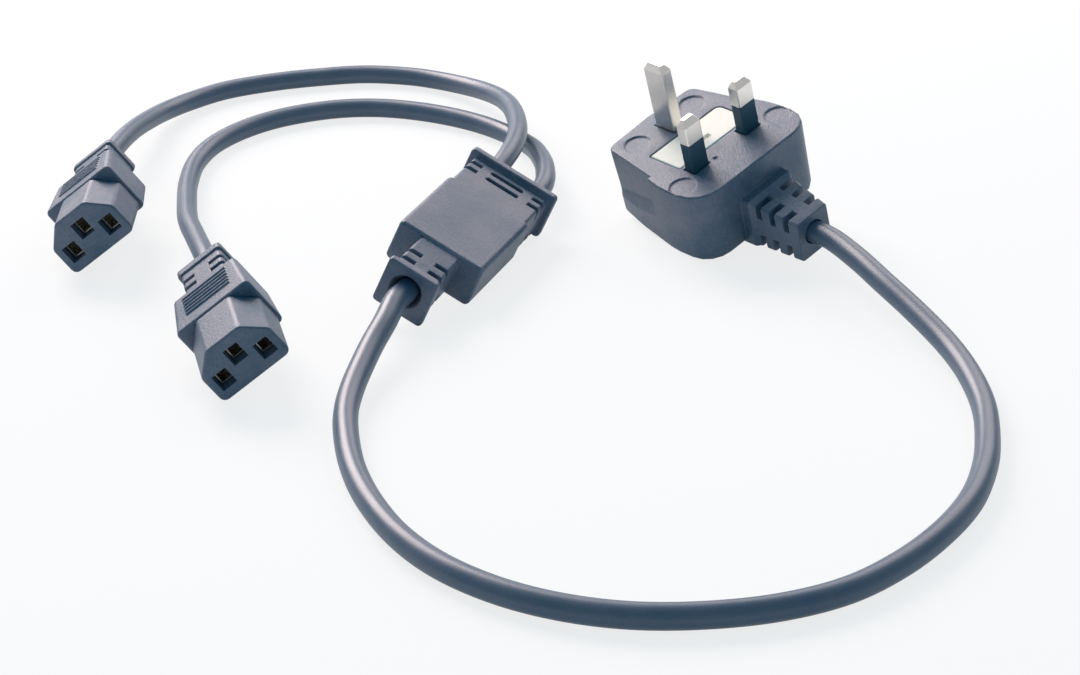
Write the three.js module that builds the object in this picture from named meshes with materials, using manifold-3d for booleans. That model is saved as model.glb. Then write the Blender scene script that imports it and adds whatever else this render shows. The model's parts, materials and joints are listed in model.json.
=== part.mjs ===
// A moulded mains cord splitter: a fused three-pin plug, a splice block and two appliance connectors.
// Lengths are in millimetres, angles in degrees, and +Z is up from the table that everything lies on.
import * as THREE from "three";
import { mergeVertices } from "three/addons/utils/BufferGeometryUtils.js";
import Module from "manifold-3d";

const wasm = await Module();
wasm.setup();

// Clearances and walls that every unit shares
const FIT_GAP = 0.3;
const BORE_GAP = 0.3;
const SLEEVE_WALL = 0.8;
const CORD_SEAT = 4;
const TONGUE_FILLET = 1.2;
const LIP_EDGE = 0.5;
const SLOTS_PER_TONGUE = 2;

// How finely round stretches are divided
const ROUND_SIDES = 24;
const SMALL_ROUND_SIDES = 12;
const FUSE_SIDES = 20;
const FERRULE_SIDES = 16;
const EDGE_STEPS = 3;
const ARC_STEP = Math.PI / 8;
const SMALLEST_CORNER = 0.08;

// How far a cut runs past the face that it opens, and how far a hidden end stops short of one
const CUT_PAST = 1;
const SLOT_PAST = 2;
const FLARE_PAST = 0.1;
const END_SETBACK = 1;

// Cords
const MAIN_CORD_DIAMETER = 6.8;
const BRANCH_CORD_DIAMETER = 6.2;
const STRAIGHT_EXIT = 6;
const MAIN_CORD_STEPS = 32;
const BRANCH_CORD_STEPS = 23;
const CORD_SIDES = 12;

// Plug: the pin face is the plane z = 0 and the live and neutral pins stand on the line y = 0
const PLUG_HALF_WIDTH = 25;
const PLUG_EARTH_HALF_WIDTH = 18;
const PLUG_SHOULDER_HALF_WIDTH = 21.4;
const PLUG_SHOULDER_Y = 19;
const PLUG_FLANK_Y = 2;
const PLUG_FRONT_Y = -14.2;
const PLUG_EARTH_Y = 31;
const PLUG_EARTH_CROWN = 0.9;
const PLUG_CROWN_HALF_WIDTH = 0.5;
const PLUG_CROWN_RADIUS = 10;
const PLUG_FLANK_RADIUS = 20;
const PLUG_SHOULDER_RADIUS = 30;
const PLUG_THICKNESS = 23.75;
const PLUG_FRONT_RADIUS = 9;
const PLUG_REAR_RADIUS = 3;
const PLUG_BACK_EDGE = 1.4;
const PLUG_FACE_EDGE = 0.7;
const PLUG_DRAFT = 0.5;
const PLUG_FACE_WALL = 3;
const PLUG_SIDE_WALL = 4.6;
const PLUG_EARTH_WALL = 3.2;
const BRIDGE_FLOOR = 2;
const BRIDGE_CORNER = 3;
const BRIDGE_SHOULDER_RADIUS = 12;
const GRIP_RECESS_FRONT_Y = 8.7;
const GRIP_RECESS_FRONT_DEPTH = 2.3;
const GRIP_RECESS_FRONT_Z = -10.2;
const GRIP_RECESS_REAR_DEPTH = 1.2;
const GRIP_RECESS_REAR_Z = -15.7;
const GRIP_RECESS_LEDGE_HEIGHT = 5.5;
const GRIP_RECESS_LEDGE_RUN = 2.6;
const GRIP_RECESS_LEAN = 0.086;
const EJECTOR_MARK_DIAMETER = 8.2;
const EJECTOR_MARK_DEPTH = 0.5;
const EJECTOR_MARK_EARTH_X = 12;
const EJECTOR_MARK_EARTH_Y = 24.2;
const EJECTOR_MARK_CORD_X = 20.6;
const EJECTOR_MARK_CORD_Y = -3.3;
const GATE_MARK_DIAMETER = 1.6;
const NEUTRAL_GATE_MARK = { x: 17.6, y: -1.8 };
const LIVE_GATE_MARK = { x: -5.4, y: -2.2 };
const CORD_ENTRY_LENGTH = 6;

// Pins
const PIN_PITCH_X = 11.1;
const EARTH_PIN_Y = 22.23;
const EARTH_PIN_WIDTH = 4;
const EARTH_PIN_DEPTH = 8;
const EARTH_PIN_HEIGHT = 22.7;
const POLE_PIN_WIDTH = 6.35;
const POLE_PIN_DEPTH = 4;
const POLE_PIN_HEIGHT = 17.7;
const PIN_TIP_CHAMFER = 1.2;
const PIN_TIP_HEIGHT = 2;
const PIN_SLEEVE_TOP = 9.3;
const PIN_SLEEVE_WALL = 0.5;
const PIN_SLEEVE_GAP = 0.1;
const PIN_SHOULDER = 0.02;
const PIN_CORNER = 0.5;

// Fuse carrier and fuse
const CARRIER_LEFT_X = -14.7;
const CARRIER_RIGHT_X = 15.1;
const CARRIER_FRONT_Y = 3.6;
const CARRIER_REAR_Y = 16.1;
const CARRIER_PLATE = 2.4;
const CARRIER_CORNER = 2;
const CARRIER_SMALL_CORNER = 0.6;
const CARRIER_EDGE = 0.3;
const CARRIER_JAW_LENGTH = 8;
const CARRIER_JAW_WALL = 1.2;
const CARRIER_JAW_BITE = 0.5;
const NOTCH_X = 1.2;
const NOTCH_Y = 8;
const NOTCH_WIDTH = 3.2;
const NOTCH_LENGTH = 1.7;
const NOTCH_DEPTH = 1.3;
const FUSE_LENGTH = 25.4;
const FUSE_DIAMETER = 6.35;
const FUSE_CAP_LENGTH = 5.6;
const FUSE_CAP_WALL = 0.35;
const FUSE_BARREL_WALL = 1.1;
const FUSE_BARREL_STEP = 0.15;
const FUSE_CAP_EDGE = 0.3;
const CONTACT_STRIP = 0.6;
const CONTACT_INSET = 0.4;
const CONTACT_TAIL_X = 2.4;
const CONTACT_LEAF_RISE = 1;
const CONTACT_TAIL_HALF_BREADTH = 2;
const CONTACT_WIDTH = 4.6;
const CONTACT_TAIL_WIDTH = 2.6;

// Plug strain relief
const RELIEF_COLLAR_HALF_WIDTH = 9.5;
const RELIEF_COLLAR_TOP_Z = -8.5;
const RELIEF_COLLAR_BOTTOM_Z = -24.8;
const RELIEF_COLLAR_Y = -17.8;
const RELIEF_COLLAR_STEP = 1;
const RELIEF_COLLAR_SLOPE = 0.8;
const RELIEF_CORNER = 1;
const RELIEF_END_Y = -33;
const RELIEF_END_BLOCK = 2.8;
const RELIEF_END_HALF_WIDTH = 6.5;
const RELIEF_END_TOP_Z = -12.7;
const RELIEF_END_BOTTOM_Z = -26.2;
const RELIEF_AXIS_Z = -19;
const RELIEF_SLOT_COUNT = 3;
const RELIEF_SLOT_FIRST_Y = -19.4;
const RELIEF_SLOT_PITCH = 4.7;
const RELIEF_SLOT_WIDTH = 1.8;
const RELIEF_SLOT_REACH = 6;
const RELIEF_SLOT_REACH_STEP = 0.7;
const RELIEF_SLOT_DROP = 4.5;

// Splitter block: the main cord leaves towards -y and the two branches leave side by side towards +y
const BLOCK_HALF_WIDTH = 14.1;
const BLOCK_LENGTH = 33.8;
const BLOCK_HEIGHT = 13.85;
const BLOCK_CORNER = 1.6;
const BLOCK_CHAMFER = 1;
const BRANCH_TONGUE_HALF_WIDTH = 13;
const BRANCH_TONGUE_STEP = 0.35;
const BRANCH_LIP_Y = 53;
const BRANCH_LIP_THICKNESS = 2.4;
const BRANCH_LIP_HALF_WIDTH = 14.9;
const BRANCH_LIP_RISE = 1.5;
const BRANCH_LIP_DROP = 0.1;
const BRANCH_LIP_CORNER = 1.4;
const BRANCH_PITCH_X = 7.2;
const BRANCH_AXIS_Z = 7;
const BRANCH_SLOT_FIRST_Y = 43.2;
const BRANCH_SLOT_PITCH = 3.9;
const BRANCH_SLOT_WIDTH = 1.6;
const BRANCH_SLOT_REACH = 4.1;
const BRANCH_SLOT_DROP = 4;
const CENTRE_SLOT_HALF_LENGTH = 5.6;
const CENTRE_SLOT_DEPTH = 2.1;
const SLOT_END_ROUNDNESS = 0.98;
const MAIN_TONGUE_END_Y = -18.8;
const MAIN_TONGUE_ROOT_HALF_WIDTH = 6.6;
const MAIN_TONGUE_ROOT_TOP_Z = 13.1;
const MAIN_TONGUE_ROOT_BOTTOM_Z = 0.6;
const MAIN_TONGUE_NECK_Y = -12.5;
const MAIN_TONGUE_NECK_HALF_WIDTH = 6.9;
const MAIN_TONGUE_NECK_TOP_Z = 11.8;
const MAIN_FLANGE_HALF_WIDTH = 8.1;
const MAIN_FLANGE_THICKNESS = 2.2;
const MAIN_FLANGE_TOP_Z = 14;
const MAIN_FLANGE_BOTTOM_Z = -1.6;
const MAIN_FLANGE_EDGE = 0.4;
const MAIN_AXIS_Z = 6.5;
const MAIN_SLOT_FIRST_Y = -7.7;
const MAIN_SLOT_PITCH = 4.2;
const MAIN_SLOT_WIDTH = 1.5;
const MAIN_SLOT_REACH = 4.7;
const MAIN_SLOT_DROP = 4;
const FLARE_DEPTH = 2.4;
const FLARE_WIDENING = 1.5;

// Splice inside the splitter block
const SPLICE_WALL = 2.6;
const SPLICE_FRONT_Y = 7;
const SPLICE_LENGTH = 22;
const FERRULE_PITCH = 6.2;
const FERRULE_RADIUS = 1.7;
const FERRULE_WALL = 0.45;
const FERRULE_LENGTH = 14;
const FERRULE_RIM = 1.2;
const FERRULE_RIM_STEP = 0.25;

// Appliance connector: the face is the plane z = 0, x runs across it and y towards the earth slot
const NOSE_HALF_WIDTH = 11.6;
const NOSE_BOTTOM_Y = -5.8;
const NOSE_TOP_Y = 10;
const NOSE_CORNER_CUT = 6;
const NOSE_CORNER_RADIUS = 2;
const NOSE_LENGTH = 17.8;
const NOSE_FACE_EDGE = 0.7;
const NOSE_REAR_EDGE = 0.2;
const STEM_INSET = 2.6;
const STEM_LENGTH = 8.5;
const CONNECTOR_SLOT_PITCH_X = 7;
const CONNECTOR_EARTH_Y = 4;
const CONNECTOR_SLOT_WIDTH = 4.6;
const CONNECTOR_SLOT_DEPTH = 5.4;
const CONTACT_FRONT_Z = -3.4;
const CONTACT_BOX_LENGTH = 10.4;
const CONTACT_BOX_WIDTH = 3.9;
const CONTACT_BOX_DEPTH = 4.8;
const CONTACT_BOX_WALL = 0.4;
const CONTACT_SLIT = 0.8;
const CONTACT_SLIT_START = 3;
const CONTACT_PIN_TAIL = 2.2;
const GRIP_FRONT_HALF_WIDTH = 12.4;
const GRIP_REAR_HALF_WIDTH = 10.9;
const GRIP_BOTTOM_Y = -6.4;
const GRIP_TOP_Y = 10.4;
const GRIP_REAR_Z = -35;
const GRIP_CORNER = 1.6;
const GRIP_REAR_EDGE = 0.6;
const GRIP_FRONT_EDGE = 0.4;
const RIB_FIRST_Z = -32.4;
const RIB_COUNT = 6;
const RIB_PITCH = 1.7;
const RIB_WIDTH = 0.8;
const RIB_HEIGHT = 0.5;
const RIB_HALF_LENGTH = 7.5;
const NECK_HALF_WIDTH = 7;
const NECK_BOTTOM_Y = -2;
const NECK_TOP_Y = 9;
const NECK_END_Z = -50.2;
const NECK_FLANGE = 3;
const NECK_FLANGE_STEP = 0.6;
const NECK_AXIS_Y = 3.5;
const NECK_SLOT_FIRST_Z = -39.2;
const NECK_SLOT_PITCH = 4;
const NECK_SLOT_WIDTH = 1.5;
const NECK_SLOT_REACH = 4.4;
const NECK_SLOT_DROP = 3.6;

// Where each unit lies on the table: its heading, how far it has rolled about that heading, and its pitch
const PLUG_PLACE = { x: 60.8, y: 55.8, heading: 155.4, roll: -16.4, pitch: 0 };
const SPLITTER_PLACE = { x: 0, y: 0, heading: 90, roll: 24.3, pitch: 0.7 };
const CONNECTOR_A_PLACE = { x: -97.8, y: -42.1, heading: -66.2, roll: 38.5, pitch: 2 };
const CONNECTOR_B_PLACE = { x: -20.8, y: -92.4, heading: -53.2, roll: 35.9, pitch: -1.7 };

// Cord routes between their two straight exits, in the order they run
const MAIN_ROUTE = [
  [1.1, -52, 9.4], [2.1, -62, 7.6], [3.8, -72, 6.2], [6.2, -83, 5], [10, -94.6, 4.2], [16.3, -107, 3.8],
  [25, -120.5, 3.5], [36, -133.5, 3.5], [50, -145.8, 3.5], [65, -154.2, 3.5], [82, -158.9, 3.5],
  [98, -159.6, 3.5], [114, -156.8, 3.5], [130, -150, 3.5], [145, -140, 3.5], [157.3, -126.8, 3.5],
  [165.6, -110.5, 3.5], [171, -92, 3.5], [173.2, -74.2, 3.5], [172, -57, 3.5], [169.2, -43.5, 3.5],
  [163.5, -25.8, 3.7], [155.2, -10.1, 4.3], [145.9, 2.3, 5.3], [132.8, 14.9, 7.4], [119.6, 26.1, 9.5],
  [110.2, 34.6, 10.6],
];
const BRANCH_A_ROUTE = [
  [-7.3, 50, 16], [-8.7, 58.7, 15.9], [-11.6, 69.5, 15.3], [-16, 80.5, 14.2], [-21.2, 90.8, 12.8],
  [-27, 100.6, 11.2], [-33.5, 109.4, 9.4], [-41, 117.2, 7.4], [-49, 123.4, 5.6], [-57, 127.6, 4.3],
  [-66, 130.2, 3.5], [-76.5, 130.6, 3.2], [-91.8, 126.5, 3.2], [-105.6, 117.8, 3.2], [-118.5, 107, 3.2],
  [-129, 94.5, 3.3], [-134.4, 80.5, 3.8], [-135.6, 67.2, 5.3], [-133.6, 52.5, 8], [-130.6, 38, 10.6],
  [-127, 24, 12.5],
];
const BRANCH_B_ROUTE = [
  [5.4, 51, 9.7], [0.8, 63, 8.9], [-4.8, 73.4, 7.4], [-11.6, 83.6, 5.6], [-19, 91.2, 4.2],
  [-27.4, 96.9, 3.4], [-37, 100.9, 3.2], [-49, 103.2, 3.2], [-63.6, 103.2, 3.2], [-75.7, 100.6, 3.2],
  [-86.3, 95.2, 3.2], [-95.5, 87, 3.2], [-103.1, 76.6, 3.2], [-108.1, 64, 3.2], [-109.9, 51, 3.2],
  [-107.8, 37, 3.5], [-100.6, 19.1, 4.8], [-91.2, 1.6, 7.2], [-81, -15.5, 10], [-72, -27.6, 12.2],
];

const RUBBER = new THREE.MeshStandardMaterial({ color: 0x4a4a52, roughness: 0.55, metalness: 0 });
const CORD_JACKET = new THREE.MeshStandardMaterial({ color: 0x505058, roughness: 0.4, metalness: 0 });
const CREAM_PLASTIC = new THREE.MeshStandardMaterial({ color: 0xf4f1e4, roughness: 0.45, metalness: 0 });
const NICKEL = new THREE.MeshStandardMaterial({ color: 0xcfc8bd, roughness: 0.3, metalness: 1 });
const BRASS = new THREE.MeshStandardMaterial({ color: 0xc9a35a, roughness: 0.35, metalness: 1 });
const CERAMIC = new THREE.MeshStandardMaterial({ color: 0xe9e4d6, roughness: 0.5, metalness: 0 });
const NYLON = new THREE.MeshStandardMaterial({ color: 0x2e2e33, roughness: 0.6, metalness: 0 });

// The closed solid inside a geometry, ready to be joined or cut.
function solidOf(geometry) {
  const bare = geometry.index ? geometry.toNonIndexed() : geometry.clone();
  bare.deleteAttribute("normal");
  bare.deleteAttribute("uv");
  const merged = mergeVertices(bare, 1e-4);
  const triVerts = new Uint32Array(merged.index.array);
  return new wasm.Manifold(
    new wasm.Mesh({ numProp: 3, vertProperties: merged.attributes.position.array, triVerts }),
  );
}

// The geometry of a solid, with flat faces.
function geometryOf(solid) {
  const mesh = solid.getMesh();
  const geometry = new THREE.BufferGeometry();
  geometry.setAttribute("position", new THREE.BufferAttribute(mesh.vertProperties, 3));
  geometry.setIndex(new THREE.BufferAttribute(mesh.triVerts, 1));
  const flat = geometry.toNonIndexed();
  flat.computeVertexNormals();
  return flat;
}

// One geometry from a base, with others joined to it and then others cut from it.
function shaped(base, joined, cut) {
  let solid = solidOf(base);
  for (const piece of joined) solid = solid.add(solidOf(piece));
  for (const piece of cut) solid = solid.subtract(solidOf(piece));
  return geometryOf(solid);
}

function named(name, geometry, material) {
  const mesh = new THREE.Mesh(geometry, material);
  mesh.name = name;
  return mesh;
}

// A box between two corners.
function block(x0, x1, y0, y1, z0, z1) {
  const geometry = new THREE.BoxGeometry(x1 - x0, y1 - y0, z1 - z0);
  return geometry.translate((x0 + x1) / 2, (y0 + y1) / 2, (z0 + z1) / 2);
}

// A round bar along y, from y0 to y1, with a radius at each end.
function barAlongY(x, z, y0, y1, radius0, radius1 = radius0, sides = ROUND_SIDES) {
  const geometry = new THREE.CylinderGeometry(radius1, radius0, y1 - y0, sides);
  return geometry.translate(x, (y0 + y1) / 2, z);
}

// A round bar along z.
function barAlongZ(x, y, z0, z1, radius0, radius1 = radius0, sides = ROUND_SIDES) {
  const geometry = new THREE.CylinderGeometry(radius1, radius0, z1 - z0, sides);
  return geometry.rotateX(Math.PI / 2).translate(x, y, (z0 + z1) / 2);
}

// The corners of a rectangle as x, y and corner radius, anticlockwise.
function rectangle(x0, x1, y0, y1, radius) {
  return [
    [x0, y0, radius],
    [x1, y0, radius],
    [x1, y1, radius],
    [x0, y1, radius],
  ];
}

// The corners of an outline and the mirror image of each across x = 0, anticlockwise.
function mirrored(rightSide) {
  const leftSide = rightSide.map(([x, y, radius]) => [-x, y, radius]).reverse();
  return [...rightSide, ...leftSide];
}

// The points of an anticlockwise outline with rounded corners, moved inwards by an inset.
// The number of points is the same for every inset.
function outline(corners, inset = 0) {
  const at = corners.map(([x, y]) => new THREE.Vector2(x, y));
  const count = corners.length;
  const points = [];
  for (let i = 0; i < count; i += 1) {
    const along = at[i].clone().sub(at[(i + count - 1) % count]).normalize();
    const onward = at[(i + 1) % count].clone().sub(at[i]).normalize();
    const turn = Math.atan2(along.cross(onward), along.dot(onward));
    const radius = Math.max(corners[i][2] - inset, SMALLEST_CORNER);
    const corner = insetCorner(at[i], along, onward, inset);
    const tangent = radius * Math.tan(turn / 2);
    const start = corner.clone().addScaledVector(along, -tangent);
    const centre = start.clone().add(new THREE.Vector2(-along.y, along.x).multiplyScalar(radius));
    const first = Math.atan2(start.y - centre.y, start.x - centre.x);
    const steps = Math.max(1, Math.round(turn / ARC_STEP));
    for (let k = 0; k <= steps; k += 1) {
      const angle = first + (turn * k) / steps;
      points.push([centre.x + radius * Math.cos(angle), centre.y + radius * Math.sin(angle)]);
    }
  }
  return points;
}

// Where two edges meet once both have moved inwards by an inset.
function insetCorner(corner, along, onward, inset) {
  const bisector = new THREE.Vector2(-along.y - onward.y, along.x + onward.x).normalize();
  const cosine = bisector.x * -along.y + bisector.y * along.x;
  return corner.clone().addScaledVector(bisector, inset / cosine);
}

// A closed body through outlines of equal point count, each at its own height, lowest first.
function loft(levels) {
  const count = levels[0].points.length;
  const positions = [];
  const indices = [];
  for (const { points, at } of levels) {
    for (const [u, v] of points) positions.push(u, v, at);
  }
  for (let level = 0; level + 1 < levels.length; level += 1) {
    for (let i = 0; i < count; i += 1) {
      const a = level * count + i;
      const b = level * count + ((i + 1) % count);
      indices.push(a, b, b + count, a, b + count, a + count);
    }
  }
  const last = (levels.length - 1) * count;
  for (let i = 1; i + 1 < count; i += 1) {
    indices.push(0, i + 1, i);
    indices.push(last, last + i, last + i + 1);
  }
  const geometry = new THREE.BufferGeometry();
  geometry.setAttribute("position", new THREE.Float32BufferAttribute(positions, 3));
  geometry.setIndex(indices);
  return geometry;
}

// An outline standing between two heights, with its low and high edges rounded and its low end drawn in.
function softPrism(corners, low, high, lowEdge, highEdge, draft = 0) {
  const levels = [];
  const slope = draft / (high - low);
  for (let k = 0; k <= EDGE_STEPS; k += 1) {
    const angle = (Math.PI / 2) * (k / EDGE_STEPS);
    const at = low + lowEdge * (1 - Math.cos(angle));
    levels.push({ at, inset: slope * (high - at) + lowEdge * (1 - Math.sin(angle)) });
  }
  for (let k = 0; k <= EDGE_STEPS; k += 1) {
    const angle = (Math.PI / 2) * (k / EDGE_STEPS);
    const at = high - highEdge * (1 - Math.sin(angle));
    levels.push({ at, inset: slope * (high - at) + highEdge * (1 - Math.cos(angle)) });
  }
  return loft(levels.map(({ at, inset }) => ({ at, points: outline(corners, inset) })));
}

// A loft whose outlines lie in x and z and whose heights run towards -y.
function loftTowardsMinusY(levels) {
  return loft(levels).rotateX(Math.PI / 2);
}

// The slots in the four corners of a flexible tongue at one station, stopped by the sleeve round its cord.
// The section gives the tongue's half width, top and bottom there.
function reliefSlots(station, width, { half, top, bottom }, reach, drop, sleeve) {
  const cuts = [];
  for (const side of [-1, 1]) {
    const inner = side * (half - reach);
    const outer = side * (half + SLOT_PAST);
    const x0 = Math.min(inner, outer);
    const x1 = Math.max(inner, outer);
    for (const [z0, z1] of [[top - drop, top + SLOT_PAST], [bottom - SLOT_PAST, bottom + drop]]) {
      const slot = solidOf(block(x0, x1, station - width / 2, station + width / 2, z0, z1));
      cuts.push(geometryOf(slot.subtract(solidOf(sleeve))));
    }
  }
  return cuts;
}

// Turns a unit onto the table: it heads one way, rolls about that heading and stands on its lowest point.
function lay(unit, place) {
  const angles = [place.pitch, place.roll, place.heading - 90].map(THREE.MathUtils.degToRad);
  unit.rotation.set(angles[0], angles[1], angles[2], "ZXY");
  unit.updateMatrixWorld(true);
  const box = new THREE.Box3().setFromObject(unit, true);
  unit.position.set(place.x, place.y, -box.min.z);
  unit.updateMatrixWorld(true);
  return unit;
}

// The plug's moulded outline, seen from its pins.
function plugCorners() {
  return mirrored([
    [PLUG_HALF_WIDTH, PLUG_FRONT_Y, PLUG_FRONT_RADIUS],
    [PLUG_HALF_WIDTH, PLUG_FLANK_Y, PLUG_FLANK_RADIUS],
    [PLUG_SHOULDER_HALF_WIDTH, PLUG_SHOULDER_Y, PLUG_SHOULDER_RADIUS],
    [PLUG_EARTH_HALF_WIDTH, PLUG_EARTH_Y, PLUG_REAR_RADIUS],
    [PLUG_CROWN_HALF_WIDTH, PLUG_EARTH_Y + PLUG_EARTH_CROWN, PLUG_CROWN_RADIUS],
  ]);
}

// The wedge cut from one flank, which gives the fingers a hold. Its floor leans in towards a sloping ledge,
// which rises towards the cord, and it ends there in an upright wall.
function gripRecess(side) {
  const share = (GRIP_RECESS_FRONT_Y - PLUG_FLANK_Y) / (PLUG_SHOULDER_Y - PLUG_FLANK_Y);
  const flankX = THREE.MathUtils.lerp(PLUG_HALF_WIDTH, PLUG_SHOULDER_HALF_WIDTH, share);
  const rearX = PLUG_EARTH_HALF_WIDTH - GRIP_RECESS_REAR_DEPTH;
  const frontX = flankX - GRIP_RECESS_FRONT_DEPTH;
  const rear = new THREE.Vector3(rearX, PLUG_EARTH_Y, GRIP_RECESS_REAR_Z);
  const front = new THREE.Vector3(frontX, GRIP_RECESS_FRONT_Y, GRIP_RECESS_FRONT_Z);
  const run = front.clone().sub(rear);
  const length = Math.hypot(run.x, run.y);
  const along = run.divideScalar(length);
  const clear = PLUG_REAR_RADIUS * 2;
  const height = PLUG_THICKNESS;
  const section = new THREE.Shape();
  section.moveTo(0, 0);
  section.lineTo(GRIP_RECESS_LEDGE_RUN, -GRIP_RECESS_LEDGE_HEIGHT);
  section.lineTo(clear, -GRIP_RECESS_LEDGE_HEIGHT);
  section.lineTo(clear, height);
  section.lineTo(height * GRIP_RECESS_LEAN, height);
  const wedge = new THREE.ExtrudeGeometry(section, { depth: length + clear, bevelEnabled: false });
  const outward = new THREE.Vector3(-along.y, along.x, 0);
  const frame = new THREE.Matrix4().makeBasis(outward, new THREE.Vector3(0, 0, 1), along);
  wedge.applyMatrix4(frame.setPosition(rear.addScaledVector(along, -clear)));
  return side > 0 ? wedge : mirrorX(wedge);
}

// The mirror image of a geometry across x = 0, with its faces still pointing out.
function mirrorX(geometry) {
  const image = geometry.index ? geometry.toNonIndexed() : geometry.clone();
  const position = image.attributes.position;
  for (let i = 0; i < position.count; i += 3) {
    const third = new THREE.Vector3().fromBufferAttribute(position, i + 2);
    const second = new THREE.Vector3().fromBufferAttribute(position, i + 1);
    position.setXYZ(i, -position.getX(i), position.getY(i), position.getZ(i));
    position.setXYZ(i + 1, -third.x, third.y, third.z);
    position.setXYZ(i + 2, -second.x, second.y, second.z);
  }
  return image;
}

// The depths below the pin face of what is stacked behind it.
const FUSE_AXIS_Z = -(CARRIER_PLATE + FIT_GAP + FUSE_DIAMETER / 2);
const FUSE_AXIS_Y = (CARRIER_FRONT_Y + CARRIER_REAR_Y) / 2;
const CONTACT_BASE_TOP_Z = FUSE_AXIS_Z - FUSE_DIAMETER / 2 - FIT_GAP;
const CONTACT_BASE_LOW_Z = CONTACT_BASE_TOP_Z - CONTACT_STRIP;
const WELL_FLOOR_Z = CONTACT_BASE_LOW_Z - FIT_GAP;
const PIN_INNER_Z = CONTACT_BASE_TOP_Z + FIT_GAP;
const BRIDGE_TOP_Z = -(PLUG_FACE_WALL + FIT_GAP);
const BRIDGE_LOW_Z = WELL_FLOOR_Z - BRIDGE_FLOOR;
const BRIDGE_FRONT_Y = -7;
const BRIDGE_CORNERS = mirrored([
  [PLUG_HALF_WIDTH - PLUG_SIDE_WALL, BRIDGE_FRONT_Y, BRIDGE_CORNER],
  [PLUG_SHOULDER_HALF_WIDTH - PLUG_SIDE_WALL, PLUG_SHOULDER_Y, BRIDGE_SHOULDER_RADIUS],
  [PLUG_EARTH_HALF_WIDTH - PLUG_SIDE_WALL, PLUG_EARTH_Y - PLUG_EARTH_WALL, BRIDGE_CORNER],
]);

// The half width, top and bottom of the plug's strain relief at a distance along y.
function reliefAt(y) {
  const share = THREE.MathUtils.clamp((RELIEF_COLLAR_Y - y) / (RELIEF_COLLAR_Y - RELIEF_END_Y), 0, 1);
  const { lerp } = THREE.MathUtils;
  return {
    half: lerp(RELIEF_COLLAR_HALF_WIDTH - RELIEF_COLLAR_STEP, RELIEF_END_HALF_WIDTH, share),
    top: lerp(RELIEF_COLLAR_TOP_Z - RELIEF_COLLAR_STEP, RELIEF_END_TOP_Z, share),
    bottom: lerp(RELIEF_COLLAR_BOTTOM_Z, RELIEF_END_BOTTOM_Z, share),
  };
}

function plugRelief() {
  const collar = {
    half: RELIEF_COLLAR_HALF_WIDTH,
    top: RELIEF_COLLAR_TOP_Z,
    bottom: RELIEF_COLLAR_BOTTOM_Z,
  };
  const endBlockY = RELIEF_END_Y + RELIEF_END_BLOCK;
  const stations = [
    { y: PLUG_FRONT_Y + PLUG_FRONT_RADIUS / 2, ...collar },
    { y: RELIEF_COLLAR_Y + RELIEF_COLLAR_SLOPE, ...collar },
    { y: RELIEF_COLLAR_Y, ...reliefAt(RELIEF_COLLAR_Y) },
    { y: endBlockY, ...reliefAt(endBlockY) },
    { y: RELIEF_END_Y, ...reliefAt(RELIEF_END_Y) },
  ];
  const levels = stations.map(({ y, half, top, bottom }) => ({
    at: -y,
    points: outline(rectangle(-half, half, bottom, top, RELIEF_CORNER)),
  }));
  return loftTowardsMinusY(levels);
}

function plugReliefSlots() {
  const radius = MAIN_CORD_DIAMETER / 2 + BORE_GAP + SLEEVE_WALL;
  const sleeve = barAlongY(0, RELIEF_AXIS_Z, RELIEF_END_Y - CUT_PAST, PLUG_FRONT_Y, radius);
  const cuts = [];
  for (let i = 0; i < RELIEF_SLOT_COUNT; i += 1) {
    const y = RELIEF_SLOT_FIRST_Y - i * RELIEF_SLOT_PITCH;
    const reach = RELIEF_SLOT_REACH - i * RELIEF_SLOT_REACH_STEP;
    cuts.push(...reliefSlots(y, RELIEF_SLOT_WIDTH, reliefAt(y), reach, RELIEF_SLOT_DROP, sleeve));
  }
  return cuts;
}

// The window in the face, or the well behind it, that the fuse carrier drops into.
function carrierOpening(low, high) {
  return loft([
    { at: low, points: outline(carrierCorners(), -FIT_GAP) },
    { at: high, points: outline(carrierCorners(), -FIT_GAP) },
  ]);
}

// A rectangular hole or bar round a pin's axis.
function pinBar(x, y, width, depth, low, high) {
  return block(x - width / 2, x + width / 2, y - depth / 2, y + depth / 2, low, high);
}

const PINS = [
  { name: "live", x: -PIN_PITCH_X, y: 0, width: POLE_PIN_WIDTH, depth: POLE_PIN_DEPTH },
  { name: "neutral", x: PIN_PITCH_X, y: 0, width: POLE_PIN_WIDTH, depth: POLE_PIN_DEPTH },
  { name: "earth", x: 0, y: EARTH_PIN_Y, width: EARTH_PIN_WIDTH, depth: EARTH_PIN_DEPTH },
];

function pinHoles(low, high) {
  const room = 2 * FIT_GAP;
  return PINS.map(({ x, y, width, depth }) => pinBar(x, y, width + room, depth + room, low, high));
}

// Shallow moulding marks on the pin face.
function faceMarks() {
  const marks = [];
  const rows = [[EJECTOR_MARK_EARTH_X, EJECTOR_MARK_EARTH_Y], [EJECTOR_MARK_CORD_X, EJECTOR_MARK_CORD_Y]];
  for (const [x, y] of rows) {
    for (const side of [-1, 1]) {
      marks.push(barAlongZ(side * x, y, -EJECTOR_MARK_DEPTH, CUT_PAST, EJECTOR_MARK_DIAMETER / 2));
    }
  }
  const radius = GATE_MARK_DIAMETER / 2;
  for (const { x, y } of [NEUTRAL_GATE_MARK, LIVE_GATE_MARK]) {
    marks.push(barAlongZ(x, y, -EJECTOR_MARK_DEPTH, CUT_PAST, radius, radius, SMALL_ROUND_SIDES));
  }
  return marks;
}

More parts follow.
